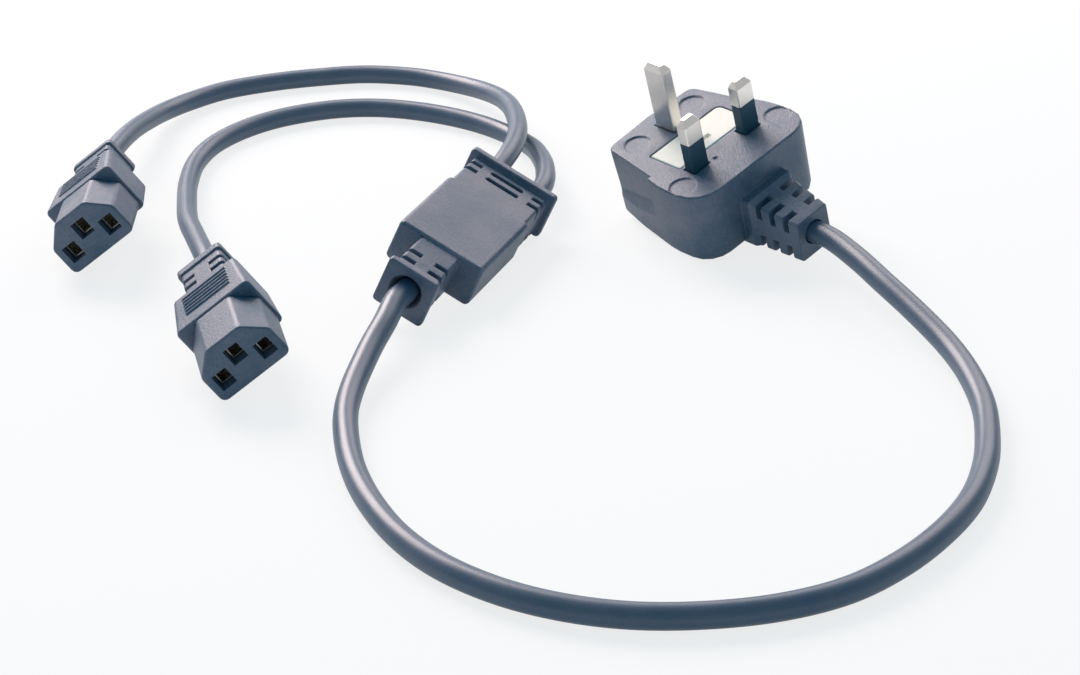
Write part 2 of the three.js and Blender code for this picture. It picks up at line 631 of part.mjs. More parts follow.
function plugBody() {
  const body = softPrism(
    plugCorners(), -PLUG_THICKNESS, 0, PLUG_BACK_EDGE, PLUG_FACE_EDGE, PLUG_DRAFT,
  );
  const cavity = loft([
    { at: BRIDGE_LOW_Z - FIT_GAP, points: outline(BRIDGE_CORNERS, -FIT_GAP) },
    { at: BRIDGE_TOP_Z + FIT_GAP, points: outline(BRIDGE_CORNERS, -FIT_GAP) },
  ]);
  const bore = barAlongY(
    0, RELIEF_AXIS_Z, RELIEF_END_Y - CUT_PAST, BRIDGE_FRONT_Y + CORD_ENTRY_LENGTH,
    MAIN_CORD_DIAMETER / 2 + BORE_GAP,
  );
  return shaped(body, [plugRelief()], [
    gripRecess(1),
    gripRecess(-1),
    cavity,
    bore,
    carrierOpening(BRIDGE_TOP_Z, CUT_PAST),
    ...pinHoles(BRIDGE_TOP_Z, CUT_PAST),
    ...plugReliefSlots(),
    ...faceMarks(),
  ]);
}

// The channels that the two fuse contacts lie in, which open into the fuse well.
function contactChannels() {
  const room = FIT_GAP;
  return [
    block(
      liveContact.x0 - room, liveContact.x1 + room, liveContact.tailY - room, FUSE_AXIS_Y,
      WELL_FLOOR_Z, PIN_INNER_Z,
    ),
    block(
      cordContact.tailX0 - room, cordContact.tailX1 + room, BRIDGE_FRONT_Y - CUT_PAST, FUSE_AXIS_Y,
      WELL_FLOOR_Z, PIN_INNER_Z,
    ),
  ];
}

// Each contact's span along x and how far its tail runs towards the cord.
const liveContact = {
  x0: -FUSE_LENGTH / 2 + CONTACT_INSET,
  x1: -FUSE_LENGTH / 2 + CONTACT_INSET + CONTACT_WIDTH,
  tailY: -POLE_PIN_DEPTH / 2 + CONTACT_STRIP,
};
const cordContact = {
  x0: FUSE_LENGTH / 2 - CONTACT_INSET - CONTACT_WIDTH,
  x1: FUSE_LENGTH / 2 - CONTACT_INSET,
  tailX0: CONTACT_TAIL_X,
  tailX1: CONTACT_TAIL_X + CONTACT_TAIL_WIDTH,
};

function pinBridge() {
  const base = loft([
    { at: BRIDGE_LOW_Z, points: outline(BRIDGE_CORNERS) },
    { at: BRIDGE_TOP_Z, points: outline(BRIDGE_CORNERS) },
  ]);
  return shaped(base, [], [
    carrierOpening(WELL_FLOOR_Z, CUT_PAST),
    ...pinHoles(PIN_INNER_Z - FIT_GAP, CUT_PAST),
    ...contactChannels(),
  ]);
}

// A pin from inside the bridge to its chamfered tip. The poles are thinner where their sleeves sit.
function plugPin({ x, y, width, depth, name }) {
  const height = name === "earth" ? EARTH_PIN_HEIGHT : POLE_PIN_HEIGHT;
  const corners = (trim) => rectangle(
    x - width / 2 + trim, x + width / 2 - trim, y - depth / 2 + trim, y + depth / 2 - trim, PIN_CORNER,
  );
  const shank = (trim, low, high) => [
    { at: low, points: outline(corners(trim)) },
    { at: high, points: outline(corners(trim)) },
  ];
  const tip = { at: height, points: outline(corners(PIN_TIP_CHAMFER)) };
  if (name === "earth") {
    return loft([...shank(0, PIN_INNER_Z, height - PIN_TIP_HEIGHT), tip]);
  }
  const neck = PIN_SLEEVE_WALL + PIN_SLEEVE_GAP;
  return loft([
    ...shank(0, PIN_INNER_Z, BRIDGE_TOP_Z),
    ...shank(neck, BRIDGE_TOP_Z + PIN_SHOULDER, PIN_SLEEVE_TOP + PIN_SLEEVE_GAP),
    ...shank(0, PIN_SLEEVE_TOP + PIN_SLEEVE_GAP + PIN_SHOULDER, height - PIN_TIP_HEIGHT),
    tip,
  ]);
}

function pinSleeve({ x, y, width, depth }) {
  const low = BRIDGE_TOP_Z + PIN_SLEEVE_GAP + PIN_SHOULDER;
  const corners = rectangle(x - width / 2, x + width / 2, y - depth / 2, y + depth / 2, PIN_CORNER);
  const outer = loft([low, PIN_SLEEVE_TOP].map((at) => ({ at, points: outline(corners) })));
  const wall = 2 * PIN_SLEEVE_WALL;
  const hole = pinBar(x, y, width - wall, depth - wall, low - CUT_PAST, PIN_SLEEVE_TOP + CUT_PAST);
  return shaped(outer, [], [hole]);
}

// The cream carrier: a face plate flush with the plug and two jaws that grip the fuse by its middle.
function fuseCarrier() {
  const plate = loft([
    { at: -CARRIER_PLATE, points: outline(carrierCorners()) },
    { at: -CARRIER_EDGE, points: outline(carrierCorners()) },
    { at: 0, points: outline(carrierCorners(), CARRIER_EDGE) },
  ]);
  const jaws = [];
  const gripRadius = FUSE_DIAMETER / 2 + FIT_GAP;
  const jawBottom = FUSE_AXIS_Z - FUSE_DIAMETER / 4;
  for (const side of [-1, 1]) {
    const inner = FUSE_AXIS_Y + side * (gripRadius - CARRIER_JAW_BITE);
    const outer = FUSE_AXIS_Y + side * (gripRadius + CARRIER_JAW_WALL);
    jaws.push(block(
      -CARRIER_JAW_LENGTH / 2, CARRIER_JAW_LENGTH / 2, Math.min(inner, outer), Math.max(inner, outer),
      jawBottom, -CARRIER_PLATE + CARRIER_JAW_BITE,
    ));
  }
  const roomLength = CARRIER_JAW_LENGTH + 2 * CUT_PAST;
  const fuseRoom = new THREE.CylinderGeometry(gripRadius, gripRadius, roomLength, ROUND_SIDES);
  fuseRoom.rotateZ(Math.PI / 2).translate(0, FUSE_AXIS_Y, FUSE_AXIS_Z);
  const notch = pinBar(NOTCH_X, NOTCH_Y, NOTCH_WIDTH, NOTCH_LENGTH, -NOTCH_DEPTH, CUT_PAST);
  return shaped(plate, jaws, [fuseRoom, notch]);
}

function carrierCorners() {
  return [
    [CARRIER_LEFT_X, CARRIER_FRONT_Y, CARRIER_SMALL_CORNER],
    [CARRIER_RIGHT_X, CARRIER_FRONT_Y, CARRIER_SMALL_CORNER],
    [CARRIER_RIGHT_X, CARRIER_REAR_Y, CARRIER_CORNER],
    [CARRIER_LEFT_X, CARRIER_REAR_Y, CARRIER_SMALL_CORNER],
  ];
}

// A ring or rod turned about the fuse's axis, from a profile of radius and distance along it.
function turnedOnFuseAxis(profile) {
  const lathe = new THREE.LatheGeometry(profile.map(([r, s]) => new THREE.Vector2(r, s)), FUSE_SIDES);
  return lathe.rotateZ(-Math.PI / 2).translate(0, FUSE_AXIS_Y, FUSE_AXIS_Z);
}

// The ceramic tube, waisted at both ends to go into its caps.
function fuseBarrel() {
  const waist = FUSE_DIAMETER / 2 - FUSE_CAP_WALL - PIN_SLEEVE_GAP;
  const bore = FUSE_DIAMETER / 2 - FUSE_BARREL_WALL - FUSE_CAP_WALL;
  const middle = FUSE_LENGTH / 2 - FUSE_CAP_LENGTH - PIN_SLEEVE_GAP;
  const end = FUSE_LENGTH / 2 - FUSE_CAP_WALL - PIN_SLEEVE_GAP;
  const outer = FUSE_DIAMETER / 2 - FUSE_BARREL_STEP;
  return turnedOnFuseAxis([
    [bore, -end], [waist, -end], [waist, -middle], [outer, -middle],
    [outer, middle], [waist, middle], [waist, end], [bore, end], [bore, -end],
  ]);
}

function fuseCap(side) {
  const outer = FUSE_DIAMETER / 2;
  const inner = outer - FUSE_CAP_WALL;
  const closed = FUSE_LENGTH / 2;
  const open = closed - FUSE_CAP_LENGTH;
  const profile = [
    [0, closed - FUSE_CAP_WALL], [inner, closed - FUSE_CAP_WALL], [inner, open], [outer, open],
    [outer, closed - FUSE_CAP_EDGE], [outer - FUSE_CAP_EDGE, closed], [0, closed],
  ];
  const cap = turnedOnFuseAxis(profile);
  return side > 0 ? cap : mirrorX(cap);
}

// A sprung U that holds one fuse cap, with a flat tail.
function fuseContact({ x0, x1 }, tail) {
  const leafGap = FUSE_DIAMETER / 2 + FIT_GAP;
  const leafTop = FUSE_AXIS_Z + CONTACT_LEAF_RISE;
  const outer = leafGap + CONTACT_STRIP;
  const base = block(
    x0, x1, FUSE_AXIS_Y - outer, FUSE_AXIS_Y + outer, CONTACT_BASE_LOW_Z, CONTACT_BASE_TOP_Z,
  );
  const leaves = [-1, 1].map((side) => {
    const near = FUSE_AXIS_Y + side * leafGap;
    const far = FUSE_AXIS_Y + side * outer;
    return block(x0, x1, Math.min(near, far), Math.max(near, far), CONTACT_BASE_LOW_Z, leafTop);
  });
  return shaped(base, [...leaves, tail], []);
}

function liveContactTail() {
  const { x0, x1, tailY } = liveContact;
  return block(x0, x1, tailY, FUSE_AXIS_Y, CONTACT_BASE_LOW_Z, CONTACT_BASE_TOP_Z);
}

// The cord side's tail runs under the fuse and turns towards the cord entry.
function cordContactTail() {
  const { x1, tailX0, tailX1 } = cordContact;
  const [y0, y1] = [-1, 1].map((side) => FUSE_AXIS_Y + side * CONTACT_TAIL_HALF_BREADTH);
  const across = block(tailX0, x1, y0, y1, CONTACT_BASE_LOW_Z, CONTACT_BASE_TOP_Z);
  const down = block(
    tailX0, tailX1, BRIDGE_FRONT_Y + END_SETBACK, FUSE_AXIS_Y, CONTACT_BASE_LOW_Z, CONTACT_BASE_TOP_Z,
  );
  return shaped(across, [down], []);
}

function buildPlug() {
  const plug = new THREE.Group();
  plug.add(named("plug_body", plugBody(), RUBBER));
  plug.add(named("plug_pin_bridge", pinBridge(), NYLON));
  for (const pin of PINS) {
    plug.add(named("plug_" + pin.name + "_pin", plugPin(pin), NICKEL));
    if (pin.name !== "earth") plug.add(named("plug_" + pin.name + "_pin_sleeve", pinSleeve(pin), NYLON));
  }
  plug.add(named("fuse_carrier", fuseCarrier(), CREAM_PLASTIC));
  plug.add(named("fuse_barrel", fuseBarrel(), CERAMIC));
  plug.add(named("fuse_cap_live_side", fuseCap(-1), NICKEL));
  plug.add(named("fuse_cap_cord_side", fuseCap(1), NICKEL));
  plug.add(named("fuse_contact_live_pin", fuseContact(liveContact, liveContactTail()), BRASS));
  plug.add(named("fuse_contact_cord", fuseContact(cordContact, cordContactTail()), BRASS));
  return plug;
}

// The section of the front tongue's neck, just behind its flange.
const MAIN_NECK = {
  half: MAIN_TONGUE_NECK_HALF_WIDTH,
  top: MAIN_TONGUE_NECK_TOP_Z,
  bottom: 0,
};

// The front tongue of the splitter: a neck that slopes down to a square flange round the main cord.
function mainTongue() {
  const flangeFront = MAIN_TONGUE_END_Y + MAIN_FLANGE_THICKNESS;
  const flange = { half: MAIN_FLANGE_HALF_WIDTH, top: MAIN_FLANGE_TOP_Z, bottom: MAIN_FLANGE_BOTTOM_Z };
  const stations = [
    {
      y: BLOCK_CHAMFER * 2,
      half: MAIN_TONGUE_ROOT_HALF_WIDTH,
      top: MAIN_TONGUE_ROOT_TOP_Z,
      bottom: MAIN_TONGUE_ROOT_BOTTOM_Z,
      inset: 0,
    },
    { y: MAIN_TONGUE_NECK_Y, ...MAIN_NECK, inset: 0 },
    { y: flangeFront + MAIN_FLANGE_EDGE, ...MAIN_NECK, inset: 0 },
    { y: flangeFront, ...flange, inset: 0 },
    { y: MAIN_TONGUE_END_Y + MAIN_FLANGE_EDGE, ...flange, inset: 0 },
    { y: MAIN_TONGUE_END_Y, ...flange, inset: MAIN_FLANGE_EDGE },
  ];
  return loftTowardsMinusY(stations.map(({ y, half, top, bottom, inset }) => ({
    at: -y,
    points: outline(rectangle(-half, half, bottom, top, TONGUE_FILLET), inset),
  })));
}

// The rear tongue of the splitter, a step below the block's top and above its underside.
const REAR_TONGUE = {
  half: BRANCH_TONGUE_HALF_WIDTH,
  top: BLOCK_HEIGHT - BRANCH_TONGUE_STEP,
  bottom: BRANCH_TONGUE_STEP,
};

// The rear tongue with its raised end lip round the two branch cords.
function branchTongue() {
  const { half, top, bottom } = REAR_TONGUE;
  const lipFront = BRANCH_LIP_Y - BRANCH_LIP_THICKNESS;
  const neck = loftTowardsMinusY([-lipFront - LIP_EDGE, -BLOCK_LENGTH + BLOCK_CHAMFER * 2].map((at) => ({
    at,
    points: outline(rectangle(-half, half, bottom, top, TONGUE_FILLET)),
  })));
  const wide = BRANCH_LIP_HALF_WIDTH;
  const corners = rectangle(
    -wide, wide, -BRANCH_LIP_DROP, BLOCK_HEIGHT + BRANCH_LIP_RISE, BRANCH_LIP_CORNER,
  );
  const lip = softPrism(corners, -BRANCH_LIP_Y, -lipFront, LIP_EDGE, LIP_EDGE);
  return [neck, lip.rotateX(Math.PI / 2)];
}

// The corner slots and the long centre slots of the rear tongue.
function branchTongueSlots() {
  const radius = BRANCH_CORD_DIAMETER / 2 + BORE_GAP + SLEEVE_WALL;
  const [left, right] = [-BRANCH_PITCH_X, BRANCH_PITCH_X].map((x) =>
    barAlongY(x, BRANCH_AXIS_Z, BLOCK_LENGTH, BRANCH_LIP_Y, radius),
  );
  const sleeves = shaped(left, [right], []);
  const halfWidth = BRANCH_SLOT_WIDTH / 2;
  const cuts = [];
  for (let i = 0; i < SLOTS_PER_TONGUE; i += 1) {
    const y = BRANCH_SLOT_FIRST_Y + i * BRANCH_SLOT_PITCH;
    cuts.push(...reliefSlots(
      y, BRANCH_SLOT_WIDTH, REAR_TONGUE, BRANCH_SLOT_REACH, BRANCH_SLOT_DROP, sleeves,
    ));
    const corners = rectangle(
      -CENTRE_SLOT_HALF_LENGTH, CENTRE_SLOT_HALF_LENGTH, y - halfWidth, y + halfWidth,
      halfWidth * SLOT_END_ROUNDNESS,
    );
    for (const [low, high] of [
      [REAR_TONGUE.top - CENTRE_SLOT_DEPTH, BLOCK_HEIGHT],
      [0, REAR_TONGUE.bottom + CENTRE_SLOT_DEPTH],
    ]) {
      cuts.push(loft([low, high].map((at) => ({ at, points: outline(corners) }))));
    }
  }
  return cuts;
}

function mainTongueSlots() {
  const cuts = [];
  const radius = MAIN_CORD_DIAMETER / 2 + BORE_GAP + SLEEVE_WALL;
  const sleeve = barAlongY(0, MAIN_AXIS_Z, MAIN_TONGUE_END_Y, 0, radius);
  for (let i = 0; i < SLOTS_PER_TONGUE; i += 1) {
    const y = MAIN_SLOT_FIRST_Y - i * MAIN_SLOT_PITCH;
    cuts.push(...reliefSlots(y, MAIN_SLOT_WIDTH, MAIN_NECK, MAIN_SLOT_REACH, MAIN_SLOT_DROP, sleeve));
  }
  return cuts;
}

const SPLICE_HALF_WIDTH = BLOCK_HALF_WIDTH - SPLICE_WALL;
const SPLICE_REAR_Y = SPLICE_FRONT_Y + SPLICE_LENGTH;

// The room inside the block for the splice, and the bores that the three cords come in by.
function splitterHollows() {
  const gap = FIT_GAP;
  const main = MAIN_CORD_DIAMETER / 2 + BORE_GAP;
  const branch = BRANCH_CORD_DIAMETER / 2 + BORE_GAP;
  const room = block(
    -SPLICE_HALF_WIDTH - gap, SPLICE_HALF_WIDTH + gap, SPLICE_FRONT_Y - gap, SPLICE_REAR_Y + gap,
    SPLICE_WALL - gap, BLOCK_HEIGHT - SPLICE_WALL + gap,
  );
  const flareStart = MAIN_TONGUE_END_Y + FLARE_DEPTH;
  const bores = [
    barAlongY(0, MAIN_AXIS_Z, MAIN_TONGUE_END_Y - CUT_PAST, SPLICE_FRONT_Y, main),
    barAlongY(0, MAIN_AXIS_Z, MAIN_TONGUE_END_Y - FLARE_PAST, flareStart, main + FLARE_WIDENING, main),
  ];
  for (const x of [-BRANCH_PITCH_X, BRANCH_PITCH_X]) {
    bores.push(barAlongY(x, BRANCH_AXIS_Z, SPLICE_REAR_Y, BRANCH_LIP_Y + CUT_PAST, branch));
  }
  return [room, ...bores];
}

function splitterBody() {
  const shell = softPrism(
    rectangle(-BLOCK_HALF_WIDTH, BLOCK_HALF_WIDTH, 0, BLOCK_HEIGHT, BLOCK_CORNER),
    -BLOCK_LENGTH, 0, BLOCK_CHAMFER, BLOCK_CHAMFER,
  ).rotateX(Math.PI / 2);
  return shaped(shell, [mainTongue(), ...branchTongue()], [
    ...splitterHollows(),
    ...mainTongueSlots(),
    ...branchTongueSlots(),
  ]);
}

const FERRULE_AXIS_Z = BLOCK_HEIGHT / 2;
const FERRULE_FRONT_Y = SPLICE_FRONT_Y + (SPLICE_LENGTH - FERRULE_LENGTH) / 2;

// The rigid tray that keeps the three joined cores apart: one open channel for each.
function spliceTray() {
  const half = SPLICE_HALF_WIDTH;
  const tray = block(-half, half, SPLICE_FRONT_Y, SPLICE_REAR_Y, SPLICE_WALL, BLOCK_HEIGHT - SPLICE_WALL);
  const reach = FERRULE_RADIUS + FIT_GAP;
  const channels = [-1, 0, 1].map((step) => {
    const x = step * FERRULE_PITCH;
    return block(x - reach, x + reach, 0, BLOCK_LENGTH, FERRULE_AXIS_Z - reach, BLOCK_HEIGHT);
  });
  return shaped(tray, [], channels);
}

// A crimped tube with a rolled rim at each end.
function spliceFerrule(x) {
  const outer = FERRULE_RADIUS;
  const body = outer - FERRULE_RIM_STEP;
  const inner = body - FERRULE_WALL;
  const half = FERRULE_LENGTH / 2;
  const rim = FERRULE_RIM;
  const profile = [
    [inner, -half], [outer, -half], [outer, -half + rim], [body, -half + rim],
    [body, half - rim], [outer, half - rim], [outer, half], [inner, half], [inner, -half],
  ];
  const tube = new THREE.LatheGeometry(profile.map(([r, s]) => new THREE.Vector2(r, s)), FERRULE_SIDES);
  return tube.translate(x, FERRULE_FRONT_Y + half, FERRULE_AXIS_Z);
}

function buildSplitter() {
  const splitter = new THREE.Group();
  splitter.add(named("splitter_body", splitterBody(), RUBBER));
  splitter.add(named("splice_tray", spliceTray(), NYLON));
  ["live", "earth", "neutral"].forEach((core, i) => {
    splitter.add(named("splice_ferrule_" + core, spliceFerrule((i - 1) * FERRULE_PITCH), BRASS));
  });
  return splitter;
}

// The connector nose: a rectangle with its two earth-side corners cut at 45 degrees.
function noseCorners() {
  return mirrored([
    [NOSE_HALF_WIDTH, NOSE_BOTTOM_Y, NOSE_CORNER_RADIUS],
    [NOSE_HALF_WIDTH, NOSE_TOP_Y - NOSE_CORNER_CUT, NOSE_CORNER_RADIUS],
    [NOSE_HALF_WIDTH - NOSE_CORNER_CUT, NOSE_TOP_Y, NOSE_CORNER_RADIUS],
  ]);
}

const CONNECTOR_SLOTS = [
  { name: "live", x: -CONNECTOR_SLOT_PITCH_X, y: 0 },
  { name: "neutral", x: CONNECTOR_SLOT_PITCH_X, y: 0 },
  { name: "earth", x: 0, y: CONNECTOR_EARTH_Y },
];
const CONTACT_REAR_Z = CONTACT_FRONT_Z - CONTACT_BOX_LENGTH;
const STEM_REAR_Z = -(NOSE_LENGTH + STEM_LENGTH);

// The insulating insert: the nose that an appliance inlet takes, and the stem that the grip is moulded onto.
function connectorInsert() {
  const nose = softPrism(noseCorners(), -NOSE_LENGTH, 0, NOSE_REAR_EDGE, NOSE_FACE_EDGE);
  const stem = loft([
    { at: STEM_REAR_Z, points: outline(noseCorners(), STEM_INSET) },
    { at: -NOSE_LENGTH + END_SETBACK, points: outline(noseCorners(), STEM_INSET) },
  ]);
  const cuts = [];
  for (const { x, y } of CONNECTOR_SLOTS) {
    const slotFloor = CONTACT_REAR_Z - FIT_GAP;
    cuts.push(pinBar(x, y, CONNECTOR_SLOT_WIDTH, CONNECTOR_SLOT_DEPTH, slotFloor, CUT_PAST));
    const tail = CONTACT_PIN_TAIL + 2 * FIT_GAP;
    cuts.push(pinBar(x, y, tail, tail, STEM_REAR_Z - CUT_PAST, CONTACT_REAR_Z));
  }
  return shaped(nose, [stem], cuts);
}

// A folded box receptacle with a slit down one side and a tail for its core.
function connectorContact({ x, y }) {
  const box = pinBar(x, y, CONTACT_BOX_WIDTH, CONTACT_BOX_DEPTH, CONTACT_REAR_Z, CONTACT_FRONT_Z);
  const wall = 2 * CONTACT_BOX_WALL;
  const room = pinBar(
    x, y, CONTACT_BOX_WIDTH - wall, CONTACT_BOX_DEPTH - wall, CONTACT_REAR_Z + CONTACT_BOX_WALL, CUT_PAST,
  );
  const slitStart = CONTACT_REAR_Z + CONTACT_SLIT_START;
  const slit = block(
    x, x + CONTACT_BOX_WIDTH, y - CONTACT_SLIT / 2, y + CONTACT_SLIT / 2, slitStart, CUT_PAST,
  );
  const tailTop = CONTACT_REAR_Z + CONTACT_BOX_WALL;
  const tail = pinBar(x, y, CONTACT_PIN_TAIL, CONTACT_PIN_TAIL, STEM_REAR_Z + END_SETBACK, tailTop);
  return shaped(box, [tail], [room, slit]);
}

// Fine raised ribs across the two broad faces of the grip.
function gripRibs() {
  const half = RIB_HALF_LENGTH;
  const ribs = [];
  for (let i = 0; i < RIB_COUNT; i += 1) {
    const z = RIB_FIRST_Z + i * RIB_PITCH;
    ribs.push(block(-half, half, GRIP_TOP_Y - 1, GRIP_TOP_Y + RIB_HEIGHT, z, z + RIB_WIDTH));
    ribs.push(block(-half, half, GRIP_BOTTOM_Y - RIB_HEIGHT, GRIP_BOTTOM_Y + 1, z, z + RIB_WIDTH));
  }
  return ribs;
}

// The neck behind the grip, with a flange at the cord's end.
function connectorNeck() {
  const flangeZ = NECK_END_Z + NECK_FLANGE;
  const wide = NECK_HALF_WIDTH + NECK_FLANGE_STEP;
  const neck = loft([flangeZ - LIP_EDGE, GRIP_REAR_Z + GRIP_CORNER].map((at) => ({
    at,
    points: outline(rectangle(-NECK_HALF_WIDTH, NECK_HALF_WIDTH, NECK_BOTTOM_Y, NECK_TOP_Y, TONGUE_FILLET)),
  })));
  const flange = softPrism(
    rectangle(-wide, wide, NECK_BOTTOM_Y - NECK_FLANGE_STEP, NECK_TOP_Y + NECK_FLANGE_STEP, TONGUE_FILLET),
    NECK_END_Z, flangeZ, LIP_EDGE, LIP_EDGE,
  );
  return [neck, flange];
}

// The neck's slots are those of a tongue that lies along z, so they are made along y and turned up.
function connectorNeckSlots() {
  const radius = BRANCH_CORD_DIAMETER / 2 + BORE_GAP + SLEEVE_WALL;
  const sleeve = barAlongY(0, -NECK_AXIS_Y, NECK_END_Z, GRIP_REAR_Z, radius);
  const neck = { half: NECK_HALF_WIDTH, top: -NECK_BOTTOM_Y, bottom: -NECK_TOP_Y };
  const cuts = [];
  for (let i = 0; i < SLOTS_PER_TONGUE; i += 1) {
    const z = NECK_SLOT_FIRST_Z - i * NECK_SLOT_PITCH;
    cuts.push(...reliefSlots(z, NECK_SLOT_WIDTH, neck, NECK_SLOT_REACH, NECK_SLOT_DROP, sleeve));
  }
  return cuts.map((cut) => cut.rotateX(Math.PI / 2));
}

function connectorGrip() {
  const front = -(NOSE_LENGTH + FIT_GAP);
  const section = (half, inset) => outline(
    rectangle(-half, half, GRIP_BOTTOM_Y, GRIP_TOP_Y, GRIP_CORNER), inset,
  );
  const grip = loft([
    { at: GRIP_REAR_Z, points: section(GRIP_REAR_HALF_WIDTH, GRIP_REAR_EDGE) },
    { at: GRIP_REAR_Z + GRIP_REAR_EDGE, points: section(GRIP_REAR_HALF_WIDTH, 0) },
    { at: front - GRIP_FRONT_EDGE, points: section(GRIP_FRONT_HALF_WIDTH, 0) },
    { at: front, points: section(GRIP_FRONT_HALF_WIDTH, GRIP_FRONT_EDGE) },
  ]);
  const pocket = loft([STEM_REAR_Z - FIT_GAP, CUT_PAST].map((at) => ({
    at,
    points: outline(noseCorners(), STEM_INSET - FIT_GAP),
  })));
  const bore = barAlongZ(
    0, NECK_AXIS_Y, NECK_END_Z - CUT_PAST, STEM_REAR_Z, BRANCH_CORD_DIAMETER / 2 + BORE_GAP,
  );
  return shaped(grip, [...gripRibs(), ...connectorNeck()], [pocket, bore, ...connectorNeckSlots()]);
}

// One connector, turned so that its face looks along +y before it is laid down.
function buildConnector(label) {
  const prefix = "connector_" + label + "_";
  const connector = new THREE.Group();
  connector.add(named(prefix + "grip", connectorGrip(), RUBBER));
  connector.add(named(prefix + "insert", connectorInsert(), RUBBER));
  for (const slot of CONNECTOR_SLOTS) {
    connector.add(named(prefix + slot.name + "_contact", connectorContact(slot), BRASS));
  }
  connector.rotation.set(Math.PI / 2, 0, Math.PI, "ZYX");
  const turned = new THREE.Group();
  turned.add(connector);
  return turned;
}

// The straight start of a cord in its bore, as points in the table's frame, going outwards.
function cordExit(unit, mouth, direction) {
  return [-CORD_SEAT, 0, STRAIGHT_EXIT].map((distance) =>
    unit.localToWorld(mouth.clone().addScaledVector(direction, distance)),
  );
}

function cord(name, diameter, steps, start, route, end) {
  const middle = route.map(([x, y, z]) => new THREE.Vector3(x, y, z));
  const path = new THREE.CatmullRomCurve3([...start, ...middle, ...end.reverse()], false, "centripetal");
  const section = new THREE.Shape();
  for (let i = 0; i < CORD_SIDES; i += 1) {
    const angle = (2 * Math.PI * i) / CORD_SIDES;
    const point = [(diameter / 2) * Math.cos(angle), (diameter / 2) * Math.sin(angle)];
    if (i === 0) section.moveTo(...point);
    else section.lineTo(...point);
  }
  return named(name, new THREE.ExtrudeGeometry(section, { steps, extrudePath: path }), CORD_JACKET);
}

const group = new THREE.Group();
const plug = lay(buildPlug(), PLUG_PLACE);
const splitter = lay(buildSplitter(), SPLITTER_PLACE);
const connectorA = lay(buildConnector("a"), CONNECTOR_A_PLACE);
const connectorB = lay(buildConnector("b"), CONNECTOR_B_PLACE);

// The origin is under the middle of the splitter block's box.
const splitterBox = new THREE.Box3().setFromObject(splitter, true);
const splitterCentre = splitterBox.getCenter(new THREE.Vector3());
splitter.position.x -= splitterCentre.x;
splitter.position.y -= splitterCentre.y;
splitter.updateMatrixWorld(true);
group.add(splitter, plug, connectorA, connectorB);

const towardsMinusY = new THREE.Vector3(0, -1, 0);
const towardsPlusY = new THREE.Vector3(0, 1, 0);
const towardsMinusZ = new THREE.Vector3(0, 0, -1);
const mainMouth = new THREE.Vector3(0, MAIN_TONGUE_END_Y, MAIN_AXIS_Z);
const plugMouth = new THREE.Vector3(0, RELIEF_END_Y, RELIEF_AXIS_Z);
const connectorMouth = new THREE.Vector3(0, NECK_AXIS_Y, NECK_END_Z);
const branchMouth = (side) => new THREE.Vector3(side * BRANCH_PITCH_X, BRANCH_LIP_Y, BRANCH_AXIS_Z);

group.add(
  cord(
    "main_cord", MAIN_CORD_DIAMETER, MAIN_CORD_STEPS,
    cordExit(splitter, mainMouth, towardsMinusY), MAIN_ROUTE, cordExit(plug, plugMouth, towardsMinusY),
  ),
  cord(
    "branch_cord_a", BRANCH_CORD_DIAMETER, BRANCH_CORD_STEPS,
    cordExit(splitter, branchMouth(-1), towardsPlusY), BRANCH_A_ROUTE,
    cordExit(connectorA.children[0], connectorMouth, towardsMinusZ),
  ),
  cord(
    "branch_cord_b", BRANCH_CORD_DIAMETER, BRANCH_CORD_STEPS,
    cordExit(splitter, branchMouth(1), towardsPlusY), BRANCH_B_ROUTE,
    cordExit(connectorB.children[0], connectorMouth, towardsMinusZ),
  ),
);

export default group;
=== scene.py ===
"""Dresses the mains cord splitter: its mouldings, pins, fuse carrier, connectors and cords.

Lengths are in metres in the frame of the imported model: +Z up from the table, +Y along the splitter
block towards its branch cords, and the origin on the table under the block.
"""

import json
import logging
import math
from dataclasses import dataclass, field
from enum import Enum
from typing import Any

import bmesh
import bpy
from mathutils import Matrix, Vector


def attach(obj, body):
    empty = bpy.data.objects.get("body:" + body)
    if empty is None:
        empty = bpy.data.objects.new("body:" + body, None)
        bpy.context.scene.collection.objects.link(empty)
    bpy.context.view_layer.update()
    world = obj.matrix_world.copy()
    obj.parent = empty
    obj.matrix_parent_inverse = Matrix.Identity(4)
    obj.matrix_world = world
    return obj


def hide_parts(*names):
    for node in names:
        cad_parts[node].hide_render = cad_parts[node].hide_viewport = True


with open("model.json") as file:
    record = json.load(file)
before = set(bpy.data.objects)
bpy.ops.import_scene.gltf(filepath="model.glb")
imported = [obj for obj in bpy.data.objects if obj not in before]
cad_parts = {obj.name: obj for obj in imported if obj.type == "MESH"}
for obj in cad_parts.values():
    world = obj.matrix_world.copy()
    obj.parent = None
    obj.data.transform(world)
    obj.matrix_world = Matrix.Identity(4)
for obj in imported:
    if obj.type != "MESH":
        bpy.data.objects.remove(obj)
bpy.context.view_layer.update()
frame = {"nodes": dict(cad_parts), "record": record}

MM = 0.001
WHITE = (1.0, 1.0, 1.0)
PLAIN_DETAIL = 2.0
RICH_DETAIL = 3.0

logging.basicConfig(level=logging.INFO, format="%(message)s")
log = logging.getLogger("cord_splitter")


class Body(Enum):
    """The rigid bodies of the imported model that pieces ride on."""

    CORD_SET = "cord_set"
    FUSE_DRAWER = "fuse_drawer"


class FarEnd(Enum):
    """What a cord ends in."""

    PLUG = "plug"
    CONNECTOR = "connector"


class Slot(Enum):
    """The record's material slots."""

    MOULDED = "moulded_pvc"
    JACKET = "cord_jacket"
    CREAM = "cream_plastic"
    NYLON = "dark_nylon"
    PIN = "pin_metal"
    BRASS = "contact_brass"
    CERAMIC = "fuse_ceramic"


